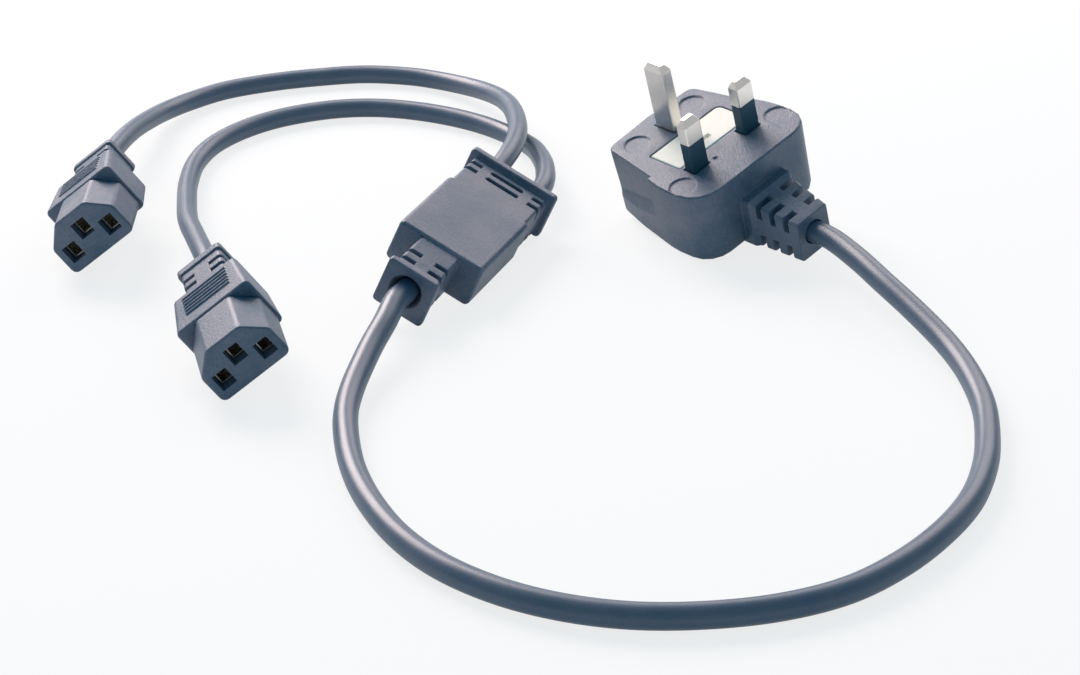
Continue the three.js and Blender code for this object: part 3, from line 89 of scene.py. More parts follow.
def placed(name: str, data: Any) -> bpy.types.Object:
    """Makes an object that shows some data and adds it to the scene.

    Args:
        name: the object's name.
        data: its mesh, curve, lamp or camera.

    Returns:
        The new object.
    """
    made = bpy.data.objects.new(name, data)
    bpy.context.scene.collection.objects.link(made)
    return made


def look_at(thing: bpy.types.Object, place: tuple[float, ...], aim: tuple[float, ...]) -> None:
    """Stands a camera or a lamp at a place and turns it to look at a point.

    Args:
        thing: the camera or lamp.
        place: where it stands.
        aim: the point that it looks at.
    """
    thing.location = place
    view = Vector(aim) - Vector(place)
    thing.rotation_euler = view.to_track_quat("-Z", "Y").to_euler()


@dataclass(frozen=True)
class Shot:
    """The camera that took the photograph, placed in the model's frame.

    Attributes:
        position: where the camera stands.
        aim: the point on the table at the middle of the picture.
        lens: focal length in millimetres.
        sensor: the sensor's width in millimetres.
        nearest: the least distance that the camera shows.
        farthest: the greatest distance that it shows.
    """

    position: tuple[float, float, float] = (0.3078, -0.6714, 0.3545)
    aim: tuple[float, float, float] = (0.0370, -0.0273, 0.0)
    lens: float = 93.33
    sensor: float = 36.0
    nearest: float = 0.01
    farthest: float = 20.0

    def build(self) -> None:
        """Makes the camera and gives it to the scene."""
        data = bpy.data.cameras.new("camera")
        data.lens = self.lens
        data.sensor_width = self.sensor
        data.clip_start = self.nearest
        data.clip_end = self.farthest
        camera = placed("camera", data)
        look_at(camera, self.position, self.aim)
        bpy.context.scene.camera = camera


class Value:
    """A number socket in a node tree, on which plain arithmetic adds Math nodes."""

    def __init__(self, tree: "Tree", socket: bpy.types.NodeSocket) -> None:
        """Wraps a socket.

        Args:
            tree: the tree that the socket belongs to.
            socket: an output that gives one number.
        """
        self.tree = tree
        self.socket = socket

    def _maths(self, operation: str, first: Any, second: Any) -> "Value":
        """Adds one Math node.

        Args:
            operation: the node's operation.
            first: its first number or value.
            second: its second number or value.

        Returns:
            The node's result.
        """
        node = self.tree.node("Math", {"operation": operation}, {0: first, 1: second})
        return Value(self.tree, node.outputs[0])

    def __add__(self, other: Any) -> "Value":
        """self + other."""
        return self._maths("ADD", self, other)

    def __radd__(self, other: Any) -> "Value":
        """other + self."""
        return self._maths("ADD", other, self)

    def __sub__(self, other: Any) -> "Value":
        """self - other."""
        return self._maths("SUBTRACT", self, other)

    def __rsub__(self, other: Any) -> "Value":
        """other - self."""
        return self._maths("SUBTRACT", other, self)

    def __mul__(self, other: Any) -> "Value":
        """self * other."""
        return self._maths("MULTIPLY", self, other)

    def __rmul__(self, other: Any) -> "Value":
        """other * self."""
        return self._maths("MULTIPLY", other, self)


class Tree:
    """The node tree of a material or of the world, with short calls to add to it."""

    def __init__(self, nodes: bpy.types.NodeTree, output: str) -> None:
        """Empties a tree and gives it its output.

        Args:
            nodes: the node tree.
            output: the output node's type without its ShaderNode prefix.
        """
        self.nodes = nodes
        self.nodes.nodes.clear()
        self.surface = self.node(output, {}, {}).inputs["Surface"]

    def node(self, kind: str, settings: dict[str, Any], inputs: dict[Any, Any]) -> bpy.types.Node:
        """Adds a node of any type.

        Args:
            kind: the node's type without its ShaderNode prefix.
            settings: attributes that are set first.
            inputs: numbers, colours, sockets or values for the node's inputs.

        Returns:
            The new node.
        """
        made = self.nodes.nodes.new("ShaderNode" + kind)
        for key, setting in settings.items():
            setattr(made, key, setting)
        for key, given in inputs.items():
            self.feed(made.inputs[key], given)
        return made

    def feed(self, socket: bpy.types.NodeSocket, given: Any) -> None:
        """Links or sets one input.

        Args:
            socket: the input.
            given: a number, a colour of three numbers, a socket or a value.
        """
        if isinstance(given, Value):
            self.nodes.links.new(given.socket, socket)
        elif isinstance(given, bpy.types.NodeSocket):
            self.nodes.links.new(given, socket)
        elif isinstance(given, tuple) and len(given) == 3 and len(socket.default_value) == 4:
            socket.default_value = (*given, 1.0)
        else:
            socket.default_value = given

    def ray(self, kind: str) -> Value:
        """Whether a ray is of one kind, such as Camera or Glossy, as 1 or 0."""
        return Value(self, self.node("LightPath", {}, {}).outputs[f"Is {kind} Ray"])

    def lay_over(self, share: Value, under: bpy.types.Node, over: bpy.types.Node) -> bpy.types.Node:
        """Mixes two shaders.

        Args:
            share: the upper one's share, from 0 to 1.
            under: the lower shader.
            over: the upper shader.

        Returns:
            The mixed shader.
        """
        return self.node("MixShader", {}, {0: share, 1: under.outputs[0], 2: over.outputs[0]})


class Shade(Tree):
    """One material, which starts with only its shader and output."""

    def __init__(self, name: str) -> None:
        """Starts a material of the given name."""
        self.material = bpy.data.materials.new(name)
        self.material.use_nodes = True
        super().__init__(self.material.node_tree, "OutputMaterial")
        self.shader = self.node("BsdfPrincipled", {}, {})
        self.feed(self.surface, self.shader.outputs[0])

    def set(self, **given: Any) -> None:
        """Feeds the shader's own sockets, named with underscores for spaces.

        Args:
            given: a number, a colour, a socket or a value for each.
        """
        for key, value in given.items():
            self.feed(self.shader.inputs[key.replace("_", " ")], value)

    def place(self) -> bpy.types.NodeSocket:
        """The piece's own coordinates, in metres."""
        return self.node("TexCoord", {}, {}).outputs["Object"]

    def noise(self, size: float, detail: float = PLAIN_DETAIL, place: Any = None) -> Value:
        """Adds soft noise between 0 and 1.

        Args:
            size: about how large its features are, in metres.
            detail: how many times finer noise is added to it.
            place: the coordinates that it reads, or None for the piece's own.

        Returns:
            The noise.
        """
        source = self.place() if place is None else place
        inputs = {"Vector": source, "Scale": 1.0 / size, "Detail": detail, "Roughness": 0.5}
        return Value(self, self.node("TexNoise", {}, inputs).outputs["Fac"])

    def stretched(self, scale: tuple[float, float, float]) -> bpy.types.NodeSocket:
        """Scales the piece's coordinates, for a pattern that runs one way.

        Args:
            scale: how far the pattern is drawn out along each axis.

        Returns:
            The coordinates.
        """
        inputs = {"Vector": self.place(), "Scale": scale}
        return self.node("Mapping", {"vector_type": "TEXTURE"}, inputs).outputs[0]

    def blend(self, share: Value, low: tuple[float, ...], high: tuple[float, ...]) -> bpy.types.NodeSocket:
        """Mixes two colours.

        Args:
            share: the second colour's share, which is held between 0 and 1.
            low: the first colour.
            high: the second colour.

        Returns:
            The mixed colour.
        """
        made = self.node("Mix", {"data_type": "RGBA"}, {"Factor": share, 6: low, 7: high})
        return made.outputs[2]

    def bump(self, height: Value, distance: float, strength: float) -> None:
        """Raises the surface by a height field.

        Args:
            height: the field, from 0 to 1.
            distance: how high 1 stands, in metres.
            strength: the share of its slopes that shows.
        """
        inputs = {"Height": height, "Distance": distance, "Strength": strength}
        self.set(Normal=self.node("Bump", {}, inputs).outputs[0])


@dataclass(frozen=True)
class MouldedPvc:
    """Satin grey PVC with the fine grain of an eroded mould.

    Attributes:
        name: the material's name.
        dark: the colour where the tone is 0.
        light: the colour where the tone is 1.
        grain: the size of one grain.
        mottle: the size of the small patches.
        cloud: the size of the broad patches.
        grain_tone: the grain's part in the tone.
        cloud_tone: the broad patches' part in it.
        mottle_tone: the small patches' part in it.
        darken: what is taken off the tone.
        depth: how deep the grain is.
        grain_height: the grain's share of the height; the small patches have the rest.
        relief: the share of the grain's slopes that shows.
        least_rough: the roughness where the small patches are low.
        rough_range: how much rougher it is where they are high.
        specular: how strongly the skin reflects.
    """

    name: str = "moulded_pvc"
    dark: tuple[float, float, float] = (0.012, 0.084, 0.148)
    light: tuple[float, float, float] = (0.195, 0.192, 0.242)
    grain: float = 0.6 * MM
    mottle: float = 2.2 * MM
    cloud: float = 14 * MM
    grain_tone: float = 0.9
    cloud_tone: float = 1.5
    mottle_tone: float = 0.6
    darken: float = 0.98
    depth: float = 0.16 * MM
    grain_height: float = 0.8
    relief: float = 0.9
    least_rough: float = 0.40
    rough_range: float = 0.12
    specular: float = 0.6

    def material(self) -> bpy.types.Material:
        """Builds the material."""
        shade = Shade(self.name)
        grain = shade.noise(self.grain, RICH_DETAIL)
        cloud = shade.noise(self.cloud, RICH_DETAIL)
        mottle = shade.noise(self.mottle)
        tone = grain * self.grain_tone + cloud * self.cloud_tone + mottle * self.mottle_tone - self.darken
        height = grain * self.grain_height + mottle * (1 - self.grain_height)
        shade.set(
            Base_Color=shade.blend(tone, self.dark, self.light),
            Roughness=mottle * self.rough_range + self.least_rough,
            Specular_IOR_Level=self.specular,
        )
        shade.bump(height, self.depth, self.relief)
        return shade.material


@dataclass(frozen=True)
class CordJacket:
    """Smooth extruded PVC with faint unevenness.

    Attributes:
        name: the material's name.
        dark: the colour where the tone is 0.
        light: the colour where the tone is 1.
        grain: the size of the fine marks.
        cloud: the size of the broad patches.
        grain_tone: the fine marks' part in the tone; the patches have the rest.
        depth: how deep the unevenness is.
        relief: the share of its slopes that shows.
        least_rough: the roughness where the patches are low.
        rough_range: how much rougher it is where they are high.
        specular: how strongly the skin reflects.
    """

    name: str = "cord_jacket"
    dark: tuple[float, float, float] = (0.016, 0.086, 0.150)
    light: tuple[float, float, float] = (0.160, 0.166, 0.214)
    grain: float = 0.6 * MM
    cloud: float = 9 * MM
    grain_tone: float = 0.4
    depth: float = 0.03 * MM
    relief: float = 0.5
    least_rough: float = 0.33
    rough_range: float = 0.10
    specular: float = 0.6

    def material(self) -> bpy.types.Material:
        """Builds the material."""
        shade = Shade(self.name)
        grain = shade.noise(self.grain, RICH_DETAIL)
        cloud = shade.noise(self.cloud)
        tone = grain * self.grain_tone + cloud * (1 - self.grain_tone)
        shade.set(
            Base_Color=shade.blend(tone, self.dark, self.light),
            Roughness=cloud * self.rough_range + self.least_rough,
            Specular_IOR_Level=self.specular,
        )
        shade.bump((grain + cloud) * 0.5, self.depth, self.relief)
        return shade.material


@dataclass(frozen=True)
class CreamPlastic:
    """Cream moulded plastic with a faint mould texture.

    Attributes:
        name: the material's name.
        pale: its paler colour.
        deep: its deeper colour.
        cloud: the size of the patches of colour.
        grain: the size of the mould texture.
        depth: how deep the texture is.
        relief: the share of its slopes that shows.
        least_rough: the roughness where the texture is low.
        rough_range: how much rougher it is where the texture is high.
        specular: how strongly the skin reflects.
    """

    name: str = "cream_plastic"
    pale: tuple[float, float, float] = (0.96, 0.92, 0.82)
    deep: tuple[float, float, float] = (0.92, 0.87, 0.76)
    cloud: float = 5 * MM
    grain: float = 0.35 * MM
    depth: float = 0.015 * MM
    relief: float = 0.5
    least_rough: float = 0.55
    rough_range: float = 0.12
    specular: float = 0.25

    def material(self) -> bpy.types.Material:
        """Builds the material."""
        shade = Shade(self.name)
        cloud = shade.noise(self.cloud, RICH_DETAIL)
        grain = shade.noise(self.grain)
        shade.set(
            Base_Color=shade.blend(cloud, self.deep, self.pale),
            Roughness=grain * self.rough_range + self.least_rough,
            Specular_IOR_Level=self.specular,
        )
        shade.bump(grain, self.depth, self.relief)
        return shade.material


@dataclass(frozen=True)
class PlatedMetal:
    """Drawn or pressed metal with a satin plate and fine lines along one axis.

    Attributes:
        name: the material's name.
        base: the plate's colour.
        worn: the colour where the plate is rubbed.
        least_rough: the roughness where the lines and the rubbing are low.
        line_rough: how much rougher it is where the lines are high.
        rub_rough: how much rougher it is where it is rubbed.
        line: the width of one line.
        drawn_out: how many times longer than wide a line is, along z.
        rub: the size of a rubbed patch.
        depth: how deep the lines are.
        relief: the share of their slopes that shows.
    """

    name: str
    base: tuple[float, float, float]
    worn: tuple[float, float, float]
    least_rough: float
    line_rough: float = 0.14
    rub_rough: float = 0.08
    line: float = 0.25 * MM
    drawn_out: float = 25.0
    rub: float = 1.2 * MM
    depth: float = 0.01 * MM
    relief: float = 0.5

    def material(self) -> bpy.types.Material:
        """Builds the material."""
        shade = Shade(self.name)
        along = shade.stretched((1.0, 1.0, self.drawn_out))
        lines = shade.noise(self.line, RICH_DETAIL, along)
        rub = shade.noise(self.rub, RICH_DETAIL)
        shade.set(
            Base_Color=shade.blend(rub, self.base, self.worn),
            Roughness=lines * self.line_rough + rub * self.rub_rough + self.least_rough,
            Metallic=1.0,
        )
        shade.bump(lines, self.depth, self.relief)
        return shade.material


@dataclass(frozen=True)
class DarkNylon:
    """Matt dark nylon of the pin sleeves and inner blocks.

    Attributes:
        name: the material's name.
        dark: its darker colour.
        light: its lighter colour.
        grain: the size of its grain.
        depth: how deep the grain is.
        relief: the share of its slopes that shows.
        least_rough: the roughness where the grain is low.
        rough_range: how much rougher it is where the grain is high.
    """

    name: str = "dark_nylon"
    dark: tuple[float, float, float] = (0.010, 0.062, 0.098)
    light: tuple[float, float, float] = (0.026, 0.086, 0.130)
    grain: float = 0.5 * MM
    depth: float = 0.02 * MM
    relief: float = 0.4
    least_rough: float = 0.42
    rough_range: float = 0.15

    def material(self) -> bpy.types.Material:
        """Builds the material."""
        shade = Shade(self.name)
        grain = shade.noise(self.grain, RICH_DETAIL)
        shade.set(
            Base_Color=shade.blend(grain, self.dark, self.light),
            Roughness=grain * self.rough_range + self.least_rough,
        )
        shade.bump(grain, self.depth, self.relief)
        return shade.material


@dataclass(frozen=True)
class FuseCeramic:
    """Glazed off-white ceramic.

    Attributes:
        name: the material's name.
        deep: its deeper colour.
        pale: its paler colour.
        cloud: the size of the patches of colour.
        least_rough: the roughness where the patches are deep.
        rough_range: how much rougher it is where they are pale.
    """

    name: str = "fuse_ceramic"
    deep: tuple[float, float, float] = (0.80, 0.78, 0.70)
    pale: tuple[float, float, float] = (0.88, 0.86, 0.80)
    cloud: float = 2 * MM
    least_rough: float = 0.2
    rough_range: float = 0.1

    def material(self) -> bpy.types.Material:
        """Builds the material."""
        shade = Shade(self.name)
        cloud = shade.noise(self.cloud, RICH_DETAIL)
        shade.set(
            Base_Color=shade.blend(cloud, self.deep, self.pale),
            Roughness=cloud * self.rough_range + self.least_rough,
        )
        return shade.material


@dataclass
class Finishes:
    """Every material of the object, made once.

    Attributes:
        moulded: the skin of the plug, the block and the connectors.
        jacket: the cords' skin.
        cream: the fuse carrier's plastic.
        nylon: the plastic of the pin sleeves and inner blocks.
        ceramic: the fuse's barrel.
        pin: the plated pins and fuse caps.
        brass: the contacts and ferrules, duller than new brass.
    """

    moulded: bpy.types.Material = field(default_factory=lambda: MouldedPvc().material())
    jacket: bpy.types.Material = field(default_factory=lambda: CordJacket().material())
    cream: bpy.types.Material = field(default_factory=lambda: CreamPlastic().material())
    nylon: bpy.types.Material = field(default_factory=lambda: DarkNylon().material())
    ceramic: bpy.types.Material = field(default_factory=lambda: FuseCeramic().material())
    pin: bpy.types.Material = field(
        default_factory=lambda: PlatedMetal(
            "pin_metal", (0.90, 0.87, 0.83), (0.83, 0.79, 0.74), least_rough=0.23
        ).material()
    )
    brass: bpy.types.Material = field(
        default_factory=lambda: PlatedMetal(
            "contact_brass", (0.46, 0.45, 0.41), (0.36, 0.35, 0.32), least_rough=0.17
        ).material()
    )

    def of(self, slot: Slot) -> bpy.types.Material:
        """Finds the material of one of the record's slots.

        Args:
            slot: the slot.

        Returns:
            Its material.
        """
        return {
            Slot.MOULDED: self.moulded,
            Slot.JACKET: self.jacket,
            Slot.CREAM: self.cream,
            Slot.NYLON: self.nylon,
            Slot.PIN: self.pin,
            Slot.BRASS: self.brass,
            Slot.CERAMIC: self.ceramic,
        }[slot]


@dataclass(frozen=True)
class Cord:
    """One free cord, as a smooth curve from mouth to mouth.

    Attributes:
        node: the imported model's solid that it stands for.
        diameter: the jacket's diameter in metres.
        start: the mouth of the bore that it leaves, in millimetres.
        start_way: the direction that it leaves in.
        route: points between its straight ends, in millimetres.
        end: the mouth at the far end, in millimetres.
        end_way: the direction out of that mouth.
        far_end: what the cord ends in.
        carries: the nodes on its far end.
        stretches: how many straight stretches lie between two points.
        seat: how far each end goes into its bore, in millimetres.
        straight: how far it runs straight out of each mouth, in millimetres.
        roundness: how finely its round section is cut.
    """

    node: str
    diameter: float
    start: tuple[float, float, float]
    start_way: tuple[float, float, float]
    route: tuple[tuple[float, float, float], ...]
    end: tuple[float, float, float]
    end_way: tuple[float, float, float]
    far_end: FarEnd
    carries: tuple[str, ...]
    stretches: int = 8
    seat: float = 4.0
    straight: float = 6.0
    roundness: int = 6

    def points(self) -> list[Vector]:
        """Gathers the cord's points, from inside one bore to inside the other.

        Returns:
            The points, in metres.
        """
        first, out = Vector(self.start), Vector(self.start_way)
        last, back = Vector(self.end), Vector(self.end_way)
        line = [first - out * self.seat, first, first + out * self.straight]
        line += [Vector(p) for p in self.route]
        line += [last + back * self.straight, last, last - back * self.seat]
        return [p * MM for p in line]

    def line(self) -> list[Vector]:
        """The cord's smooth line, in metres."""
        return smooth_line(self.points(), self.stretches)

    def build(self, finish: bpy.types.Material) -> bpy.types.Object:
        """Makes the curve and gives it its finish.

        Args:
            finish: the jacket's material.

        Returns:
            The curve object.
        """
        line = self.line()
        data = bpy.data.curves.new(self.node + "_jacket", "CURVE")
        data.dimensions = "3D"
        data.bevel_depth = self.diameter / 2
        data.bevel_resolution = self.roundness
        data.use_fill_caps = True
        spline = data.splines.new("POLY")
        spline.points.add(len(line) - 1)
        for point, place in zip(spline.points, line):
            point.co = (*place, 1.0)
        spline.use_smooth = True
        piece = placed(self.node + "_jacket", data)
        data.materials.append(finish)
        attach(piece, Body.CORD_SET.value)
        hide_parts(self.node)
        return piece

    def declare(self, piece: bpy.types.Object, standing: dict[str, bpy.types.Object]) -> None:
        """Logs the curve's length.

        Args:
            piece: the curve object.
            standing: the object that shows each node; not used.
        """
        line = self.line()
        length = sum((b - a).length for a, b in zip(line, line[1:]))
        log.info("%s: %.0f mm long", piece.name, length / MM)


def smooth_line(points: list[Vector], steps: int) -> list[Vector]:
    """Draws a centripetal spline through points, which doesn't overshoot at tight bends.

    Args:
        points: the points that it passes through.
        steps: how many stretches lie between two points.

    Returns:
        The points of the smooth line.
    """
    padded = [points[0] * 2 - points[1], *points, points[-1] * 2 - points[-2]]
    line = []
    for a, b, c, d in zip(padded, padded[1:], padded[2:], padded[3:]):
        t0 = 0.0
        t1 = t0 + math.sqrt((b - a).length)
        t2 = t1 + math.sqrt((c - b).length)
        t3 = t2 + math.sqrt((d - c).length)
        for k in range(steps):
            t = t1 + (t2 - t1) * k / steps
            ab = a * ((t1 - t) / (t1 - t0)) + b * ((t - t0) / (t1 - t0))
            bc = b * ((t2 - t) / (t2 - t1)) + c * ((t - t1) / (t2 - t1))
            cd = c * ((t3 - t) / (t3 - t2)) + d * ((t - t2) / (t3 - t2))
            near = ab * ((t2 - t) / (t2 - t0)) + bc * ((t - t0) / (t2 - t0))
            far = bc * ((t3 - t) / (t3 - t1)) + cd * ((t - t1) / (t3 - t1))
            line.append(near * ((t2 - t) / (t2 - t1)) + far * ((t - t1) / (t2 - t1)))
    line.append(points[-1].copy())
    return line


PLUG_NODES = (
    "plug_body", "plug_pin_bridge", "plug_live_pin", "plug_neutral_pin", "plug_earth_pin",
    "plug_live_pin_sleeve", "plug_neutral_pin_sleeve", "fuse_carrier", "fuse_barrel",
    "fuse_cap_live_side", "fuse_cap_cord_side", "fuse_contact_live_pin", "fuse_contact_cord",
)


def connector_nodes(label: str) -> tuple[str, ...]:
    """Names the nodes of one connector.

    Args:
        label: the connector's letter.

    Returns:
        The names.
    """
    parts = ("grip", "insert", "live_contact", "neutral_contact", "earth_contact")
    return tuple(f"connector_{label}_{part}" for part in parts)


CORDS = (
    Cord(
        node="main_cord",
        diameter=6.8 * MM,
        start=(-0.46, -35.91, 10.97),
        start_way=(0.0, -0.99993, -0.01222),
        route=(
            (1.1, -52, 9.4), (2.1, -62, 7.6), (3.8, -72, 6.2), (6.2, -83, 5), (10, -94.6, 4.2),
            (16.3, -107, 3.8), (25, -120.5, 3.5), (36, -133.5, 3.5), (50, -145.8, 3.5),
            (65, -154.2, 3.5), (82, -158.9, 3.5), (98, -159.6, 3.5), (114, -156.8, 3.5),
            (130, -150, 3.5), (145, -140, 3.5), (157.3, -126.8, 3.5), (165.6, -110.5, 3.5),
            (171, -92, 3.5), (173.2, -74.2, 3.5), (172, -57, 3.5), (169.2, -43.5, 3.5),
            (163.5, -25.8, 3.7), (155.2, -10.1, 4.3), (145.9, 2.3, 5.3), (132.8, 14.9, 7.4),
            (119.6, 26.1, 9.5), (110.2, 34.6, 10.6),
        ),
        end=(93.04, 46.94, 11.1),
        end_way=(0.90924, -0.41628, 0.0),
        far_end=FarEnd.PLUG,
        carries=PLUG_NODES,
    ),
    Cord(
        node="branch_cord_a",
        diameter=6.2 * MM,
        start=(-6.82, 35.84, 15.26),
        start_way=(0.0, 0.99993, 0.01222),
        route=(
            (-7.3, 50, 16), (-8.7, 58.7, 15.9), (-11.6, 69.5, 15.3), (-16, 80.5, 14.2),
            (-21.2, 90.8, 12.8), (-27, 100.6, 11.2), (-33.5, 109.4, 9.4), (-41, 117.2, 7.4),
            (-49, 123.4, 5.6), (-57, 127.6, 4.3), (-66, 130.2, 3.5), (-76.5, 130.6, 3.2),
            (-91.8, 126.5, 3.2), (-105.6, 117.8, 3.2), (-118.5, 107, 3.2), (-129, 94.5, 3.3),
            (-134.4, 80.5, 3.8), (-135.6, 67.2, 5.3), (-133.6, 52.5, 8), (-130.6, 38, 10.6),
            (-127, 24, 12.5),
        ),
        end=(-120.08, 3.01, 13.69),
        end_way=(-0.4033, 0.9144, -0.0349),
        far_end=FarEnd.CONNECTOR,
        carries=connector_nodes("a"),
    ),
    Cord(
        node="branch_cord_b",
        diameter=6.2 * MM,
        start=(6.3, 35.92, 9.34),
        start_way=(0.0, 0.99993, 0.01222),
        route=(
            (5.4, 51, 9.7), (0.8, 63, 8.9), (-4.8, 73.4, 7.4), (-11.6, 83.6, 5.6), (-19, 91.2, 4.2),
            (-27.4, 96.9, 3.4), (-37, 100.9, 3.2), (-49, 103.2, 3.2), (-63.6, 103.2, 3.2),
            (-75.7, 100.6, 3.2), (-86.3, 95.2, 3.2), (-95.5, 87, 3.2), (-103.1, 76.6, 3.2),
            (-108.1, 64, 3.2), (-109.9, 51, 3.2), (-107.8, 37, 3.5), (-100.6, 19.1, 4.8),
            (-91.2, 1.6, 7.2), (-81, -15.5, 10), (-72, -27.6, 12.2),
        ),
        end=(-52.45, -53.52, 15.57),
        end_way=(-0.59876, 0.80038, 0.02967),
        far_end=FarEnd.CONNECTOR,
        carries=connector_nodes("b"),
    ),
)


@dataclass(frozen=True)
class Softening:
    """How a moulded piece's edges are rounded.

    Attributes:
        radius: the rounding's width.
        segments: the faces across it.
        sharper_than: the least angle between two faces, in degrees, that is rounded.
        broad_face: the area of a face that is no facet of a rounding.
        broad_sharper_than: the same for an edge between two broad faces.
        weld: how close two corners are that are made one.
        flat_within: the angle, in degrees, up to which faces are joined as one flat face.
        most_corners: the most corners of a face that is left whole.
        crease: the angle, in degrees, from which an edge is shaded sharp.
        flat_pull: how strongly large flat faces set the shading of their corners.
    """

    radius: float = 0.3 * MM
    segments: int = 2
    sharper_than: float = 32.0
    broad_face: float = 40 * MM * MM
    broad_sharper_than: float = 24.0
    weld: float = 0.02 * MM
    flat_within: float = 0.6
    most_corners: int = 4
    crease: float = 38.0
    flat_pull: int = 80

    def _rounds(self, edge: bmesh.types.BMEdge) -> bool:
        """Tells a real edge from a facet of a rounding.

        Args:
            edge: the edge.

        Returns:
            Whether it is rounded.
        """
        if not edge.is_manifold:
            return False
        angle = math.degrees(edge.calc_face_angle(0.0))
        broad = all(face.calc_area() > self.broad_face for face in edge.link_faces)
        return angle > (self.broad_sharper_than if broad else self.sharper_than)

    def apply(self, node: str, finish: bpy.types.Material, body: Body, slot: Slot) -> bpy.types.Object:
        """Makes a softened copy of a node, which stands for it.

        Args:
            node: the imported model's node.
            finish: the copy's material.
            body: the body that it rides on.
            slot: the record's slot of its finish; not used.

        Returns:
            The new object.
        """
        shape = bmesh.new()
        shape.from_mesh(frame["nodes"][node].data)
        bmesh.ops.remove_doubles(shape, verts=shape.verts, dist=self.weld)
        bmesh.ops.dissolve_limit(
            shape, angle_limit=math.radians(self.flat_within), verts=shape.verts, edges=shape.edges
        )
        sharp = [edge for edge in shape.edges if self._rounds(edge)]
        bmesh.ops.bevel(
            shape, geom=sharp, offset=self.radius, offset_type="OFFSET", segments=self.segments,
            profile=0.5, affect="EDGES", clamp_overlap=False, material=-1,
        )
        large = [face for face in shape.faces if len(face.verts) > self.most_corners]
        bmesh.ops.triangulate(shape, faces=large)
        mesh = bpy.data.meshes.new(node + "_moulding")
        shape.to_mesh(mesh)
        shape.free()
        mesh.materials.clear()
        mesh.materials.append(finish)
        mesh.shade_smooth()
        mesh.set_sharp_from_angle(angle=math.radians(self.crease))
        piece = placed(node + "_moulding", mesh)
        level = piece.modifiers.new("flat_faces_stay_flat", "WEIGHTED_NORMAL")
        level.keep_sharp = True
        level.weight = self.flat_pull
        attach(piece, body.value)
        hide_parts(node)
        log.info("%s: %d faces", piece.name, len(mesh.polygons))
        return piece


@dataclass(frozen=True)
class Lamp:
    """One square soft lamp.

    Attributes:
        name: the lamp's name.
        place: where it stands.
        power: its power in watts.
        colour: its light's colour.
        size: its side.
        aim: the point that it looks at.
    """

    name: str
    place: tuple[float, float, float]
    power: float
    colour: tuple[float, float, float]
    size: float = 0.9
    aim: tuple[float, float, float] = (0.02, 0.0, 0.0)

    def build(self) -> None:
        """Hangs the lamp."""
        data = bpy.data.lights.new(self.name, "AREA")
        data.size = self.size
        data.energy = self.power
        data.color = self.colour
        look_at(placed(self.name, data), self.place, self.aim)


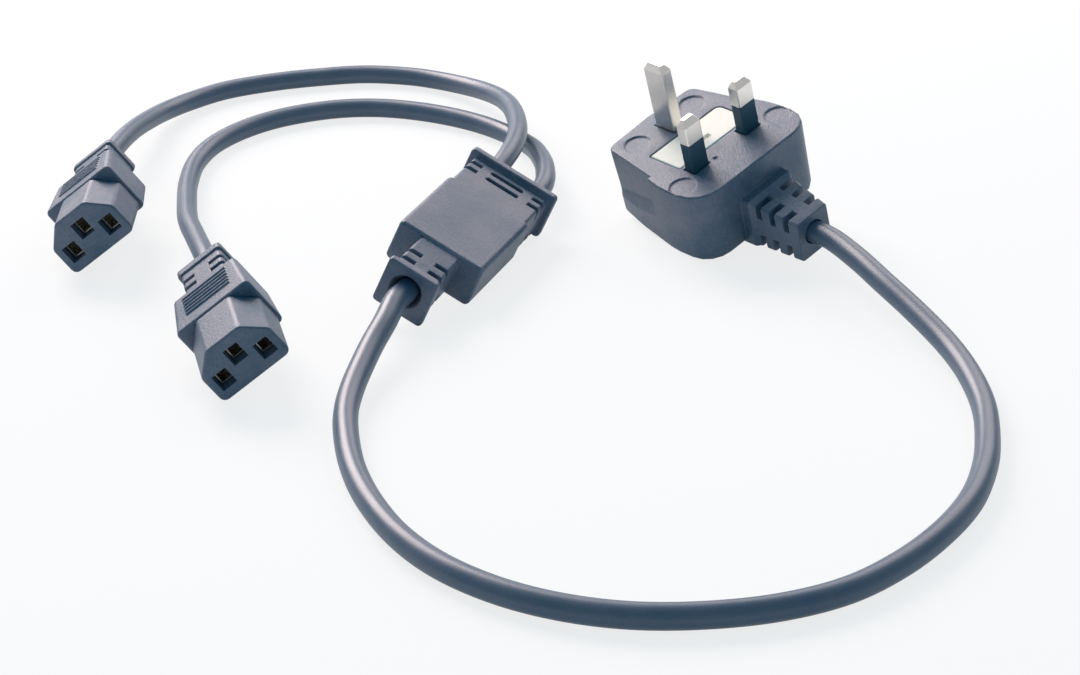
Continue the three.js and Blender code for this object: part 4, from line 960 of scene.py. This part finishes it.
@dataclass(frozen=True)
class Studio:
    """A plain white table, soft lamps and the light of the room.

    Attributes:
        floor_size: the side of the table.
        floor_white: how white the table is to plain light.
        floor_rough: the table's roughness.
        camera_glow: the share of pure white that the camera sees in the table.
        mirror_glow: the same for what a reflection sees.
        fill_colour: the room's light on the object.
        fill_power: how strong that light is.
        mirrored: the room as a reflection sees it.
        lamps: the lamps.
    """

    floor_size: float = 6.0
    floor_white: float = 0.86
    floor_rough: float = 0.9
    camera_glow: float = 0.8
    mirror_glow: float = 0.6
    fill_colour: tuple[float, float, float] = (0.08, 0.66, 1.0)
    fill_power: float = 0.32
    mirrored: tuple[float, float, float] = (0.48, 0.50, 0.52)
    lamps: tuple[Lamp, ...] = (
        Lamp("key", (-0.95, 0.65, 0.88), 31.0, (1.0, 0.85, 0.81)),
        Lamp("back", (0.05, 1.2, 0.8), 8.0, (1.0, 0.84, 0.80)),
    )

    def build(self) -> None:
        """Makes the table, the room's light and the lamps."""
        self._floor()
        self._room()
        for lamp in self.lamps:
            lamp.build()

    def _floor(self) -> None:
        """Makes a table that looks white and keeps a faint shadow."""
        shape = bmesh.new()
        bmesh.ops.create_grid(shape, x_segments=1, y_segments=1, size=self.floor_size / 2)
        mesh = bpy.data.meshes.new("table_top")
        shape.to_mesh(mesh)
        shape.free()
        table = placed("table_top", mesh)
        shade = Shade("table_white")
        white = (self.floor_white,) * 3
        shade.set(Base_Color=white, Roughness=self.floor_rough, Specular_IOR_Level=0.0)
        glow = shade.node("Emission", {}, {"Color": WHITE, "Strength": 1.0})
        share = shade.ray("Camera") * self.camera_glow + shade.ray("Glossy") * self.mirror_glow
        shade.feed(shade.surface, shade.lay_over(share, shade.shader, glow).outputs[0])
        mesh.materials.append(shade.material)

    def _room(self) -> None:
        """Lights the object with a cool fill that reflects as grey and shows as white."""
        world = bpy.data.worlds.new("studio")
        bpy.context.scene.world = world
        world.use_nodes = True
        room = Tree(world.node_tree, "OutputWorld")
        fill = room.node("Background", {}, {"Color": self.fill_colour, "Strength": self.fill_power})
        grey = room.node("Background", {}, {"Color": self.mirrored, "Strength": 1.0})
        white = room.node("Background", {}, {"Color": WHITE, "Strength": 1.0})
        lit = room.lay_over(room.ray("Glossy"), fill, grey)
        seen = room.lay_over(room.ray("Camera"), lit, white)
        room.feed(room.surface, seen.outputs[0])


MOULDINGS = ("plug_body", "splitter_body", "connector_a_grip", "connector_b_grip")
CRISP_PIECES = (
    "connector_a_insert", "connector_b_insert", "fuse_carrier",
    "plug_live_pin", "plug_neutral_pin", "plug_earth_pin",
)
CRISP_RADIUS = 0.15 * MM


@dataclass
class Dressing:
    """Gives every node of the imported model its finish.

    Attributes:
        finishes: the object's materials.
        softened: the nodes whose edges are rounded, with their rounding.
    """

    finishes: Finishes
    softened: dict[str, Softening] = field(default_factory=dict)

    def build(self) -> dict[str, bpy.types.Object]:
        """Dresses the nodes one by one.

        Returns:
            The object that shows each node, by the node's name.
        """
        standing = {}
        body_of = {
            node: Body(body)
            for body, nodes in frame["record"]["behaviour"]["bodies"].items()
            for node in nodes
        }
        for part in frame["record"]["subparts"]:
            node, slot = part["node"], Slot(part["material_slot"])
            if slot is Slot.JACKET:
                continue
            finish = self.finishes.of(slot)
            if node in self.softened:
                standing[node] = self.softened[node].apply(node, finish, body_of[node], slot)
            else:
                plain = frame["nodes"][node]
                plain.data.materials.clear()
                plain.data.materials.append(finish)
                standing[node] = plain
        return standing


def main() -> None:
    """Builds the camera, the cords, the dressed mouldings and the studio."""
    bpy.context.scene.view_settings.view_transform = "Standard"
    finishes = Finishes()
    Shot().build()
    jackets = [cord.build(finishes.jacket) for cord in CORDS]
    softened = dict.fromkeys(MOULDINGS, Softening())
    softened |= dict.fromkeys(CRISP_PIECES, Softening(radius=CRISP_RADIUS))
    standing = Dressing(finishes, softened).build()
    for cord, jacket in zip(CORDS, jackets):
        cord.declare(jacket, standing)
    Studio().build()


if __name__ == "__main__":
    main()
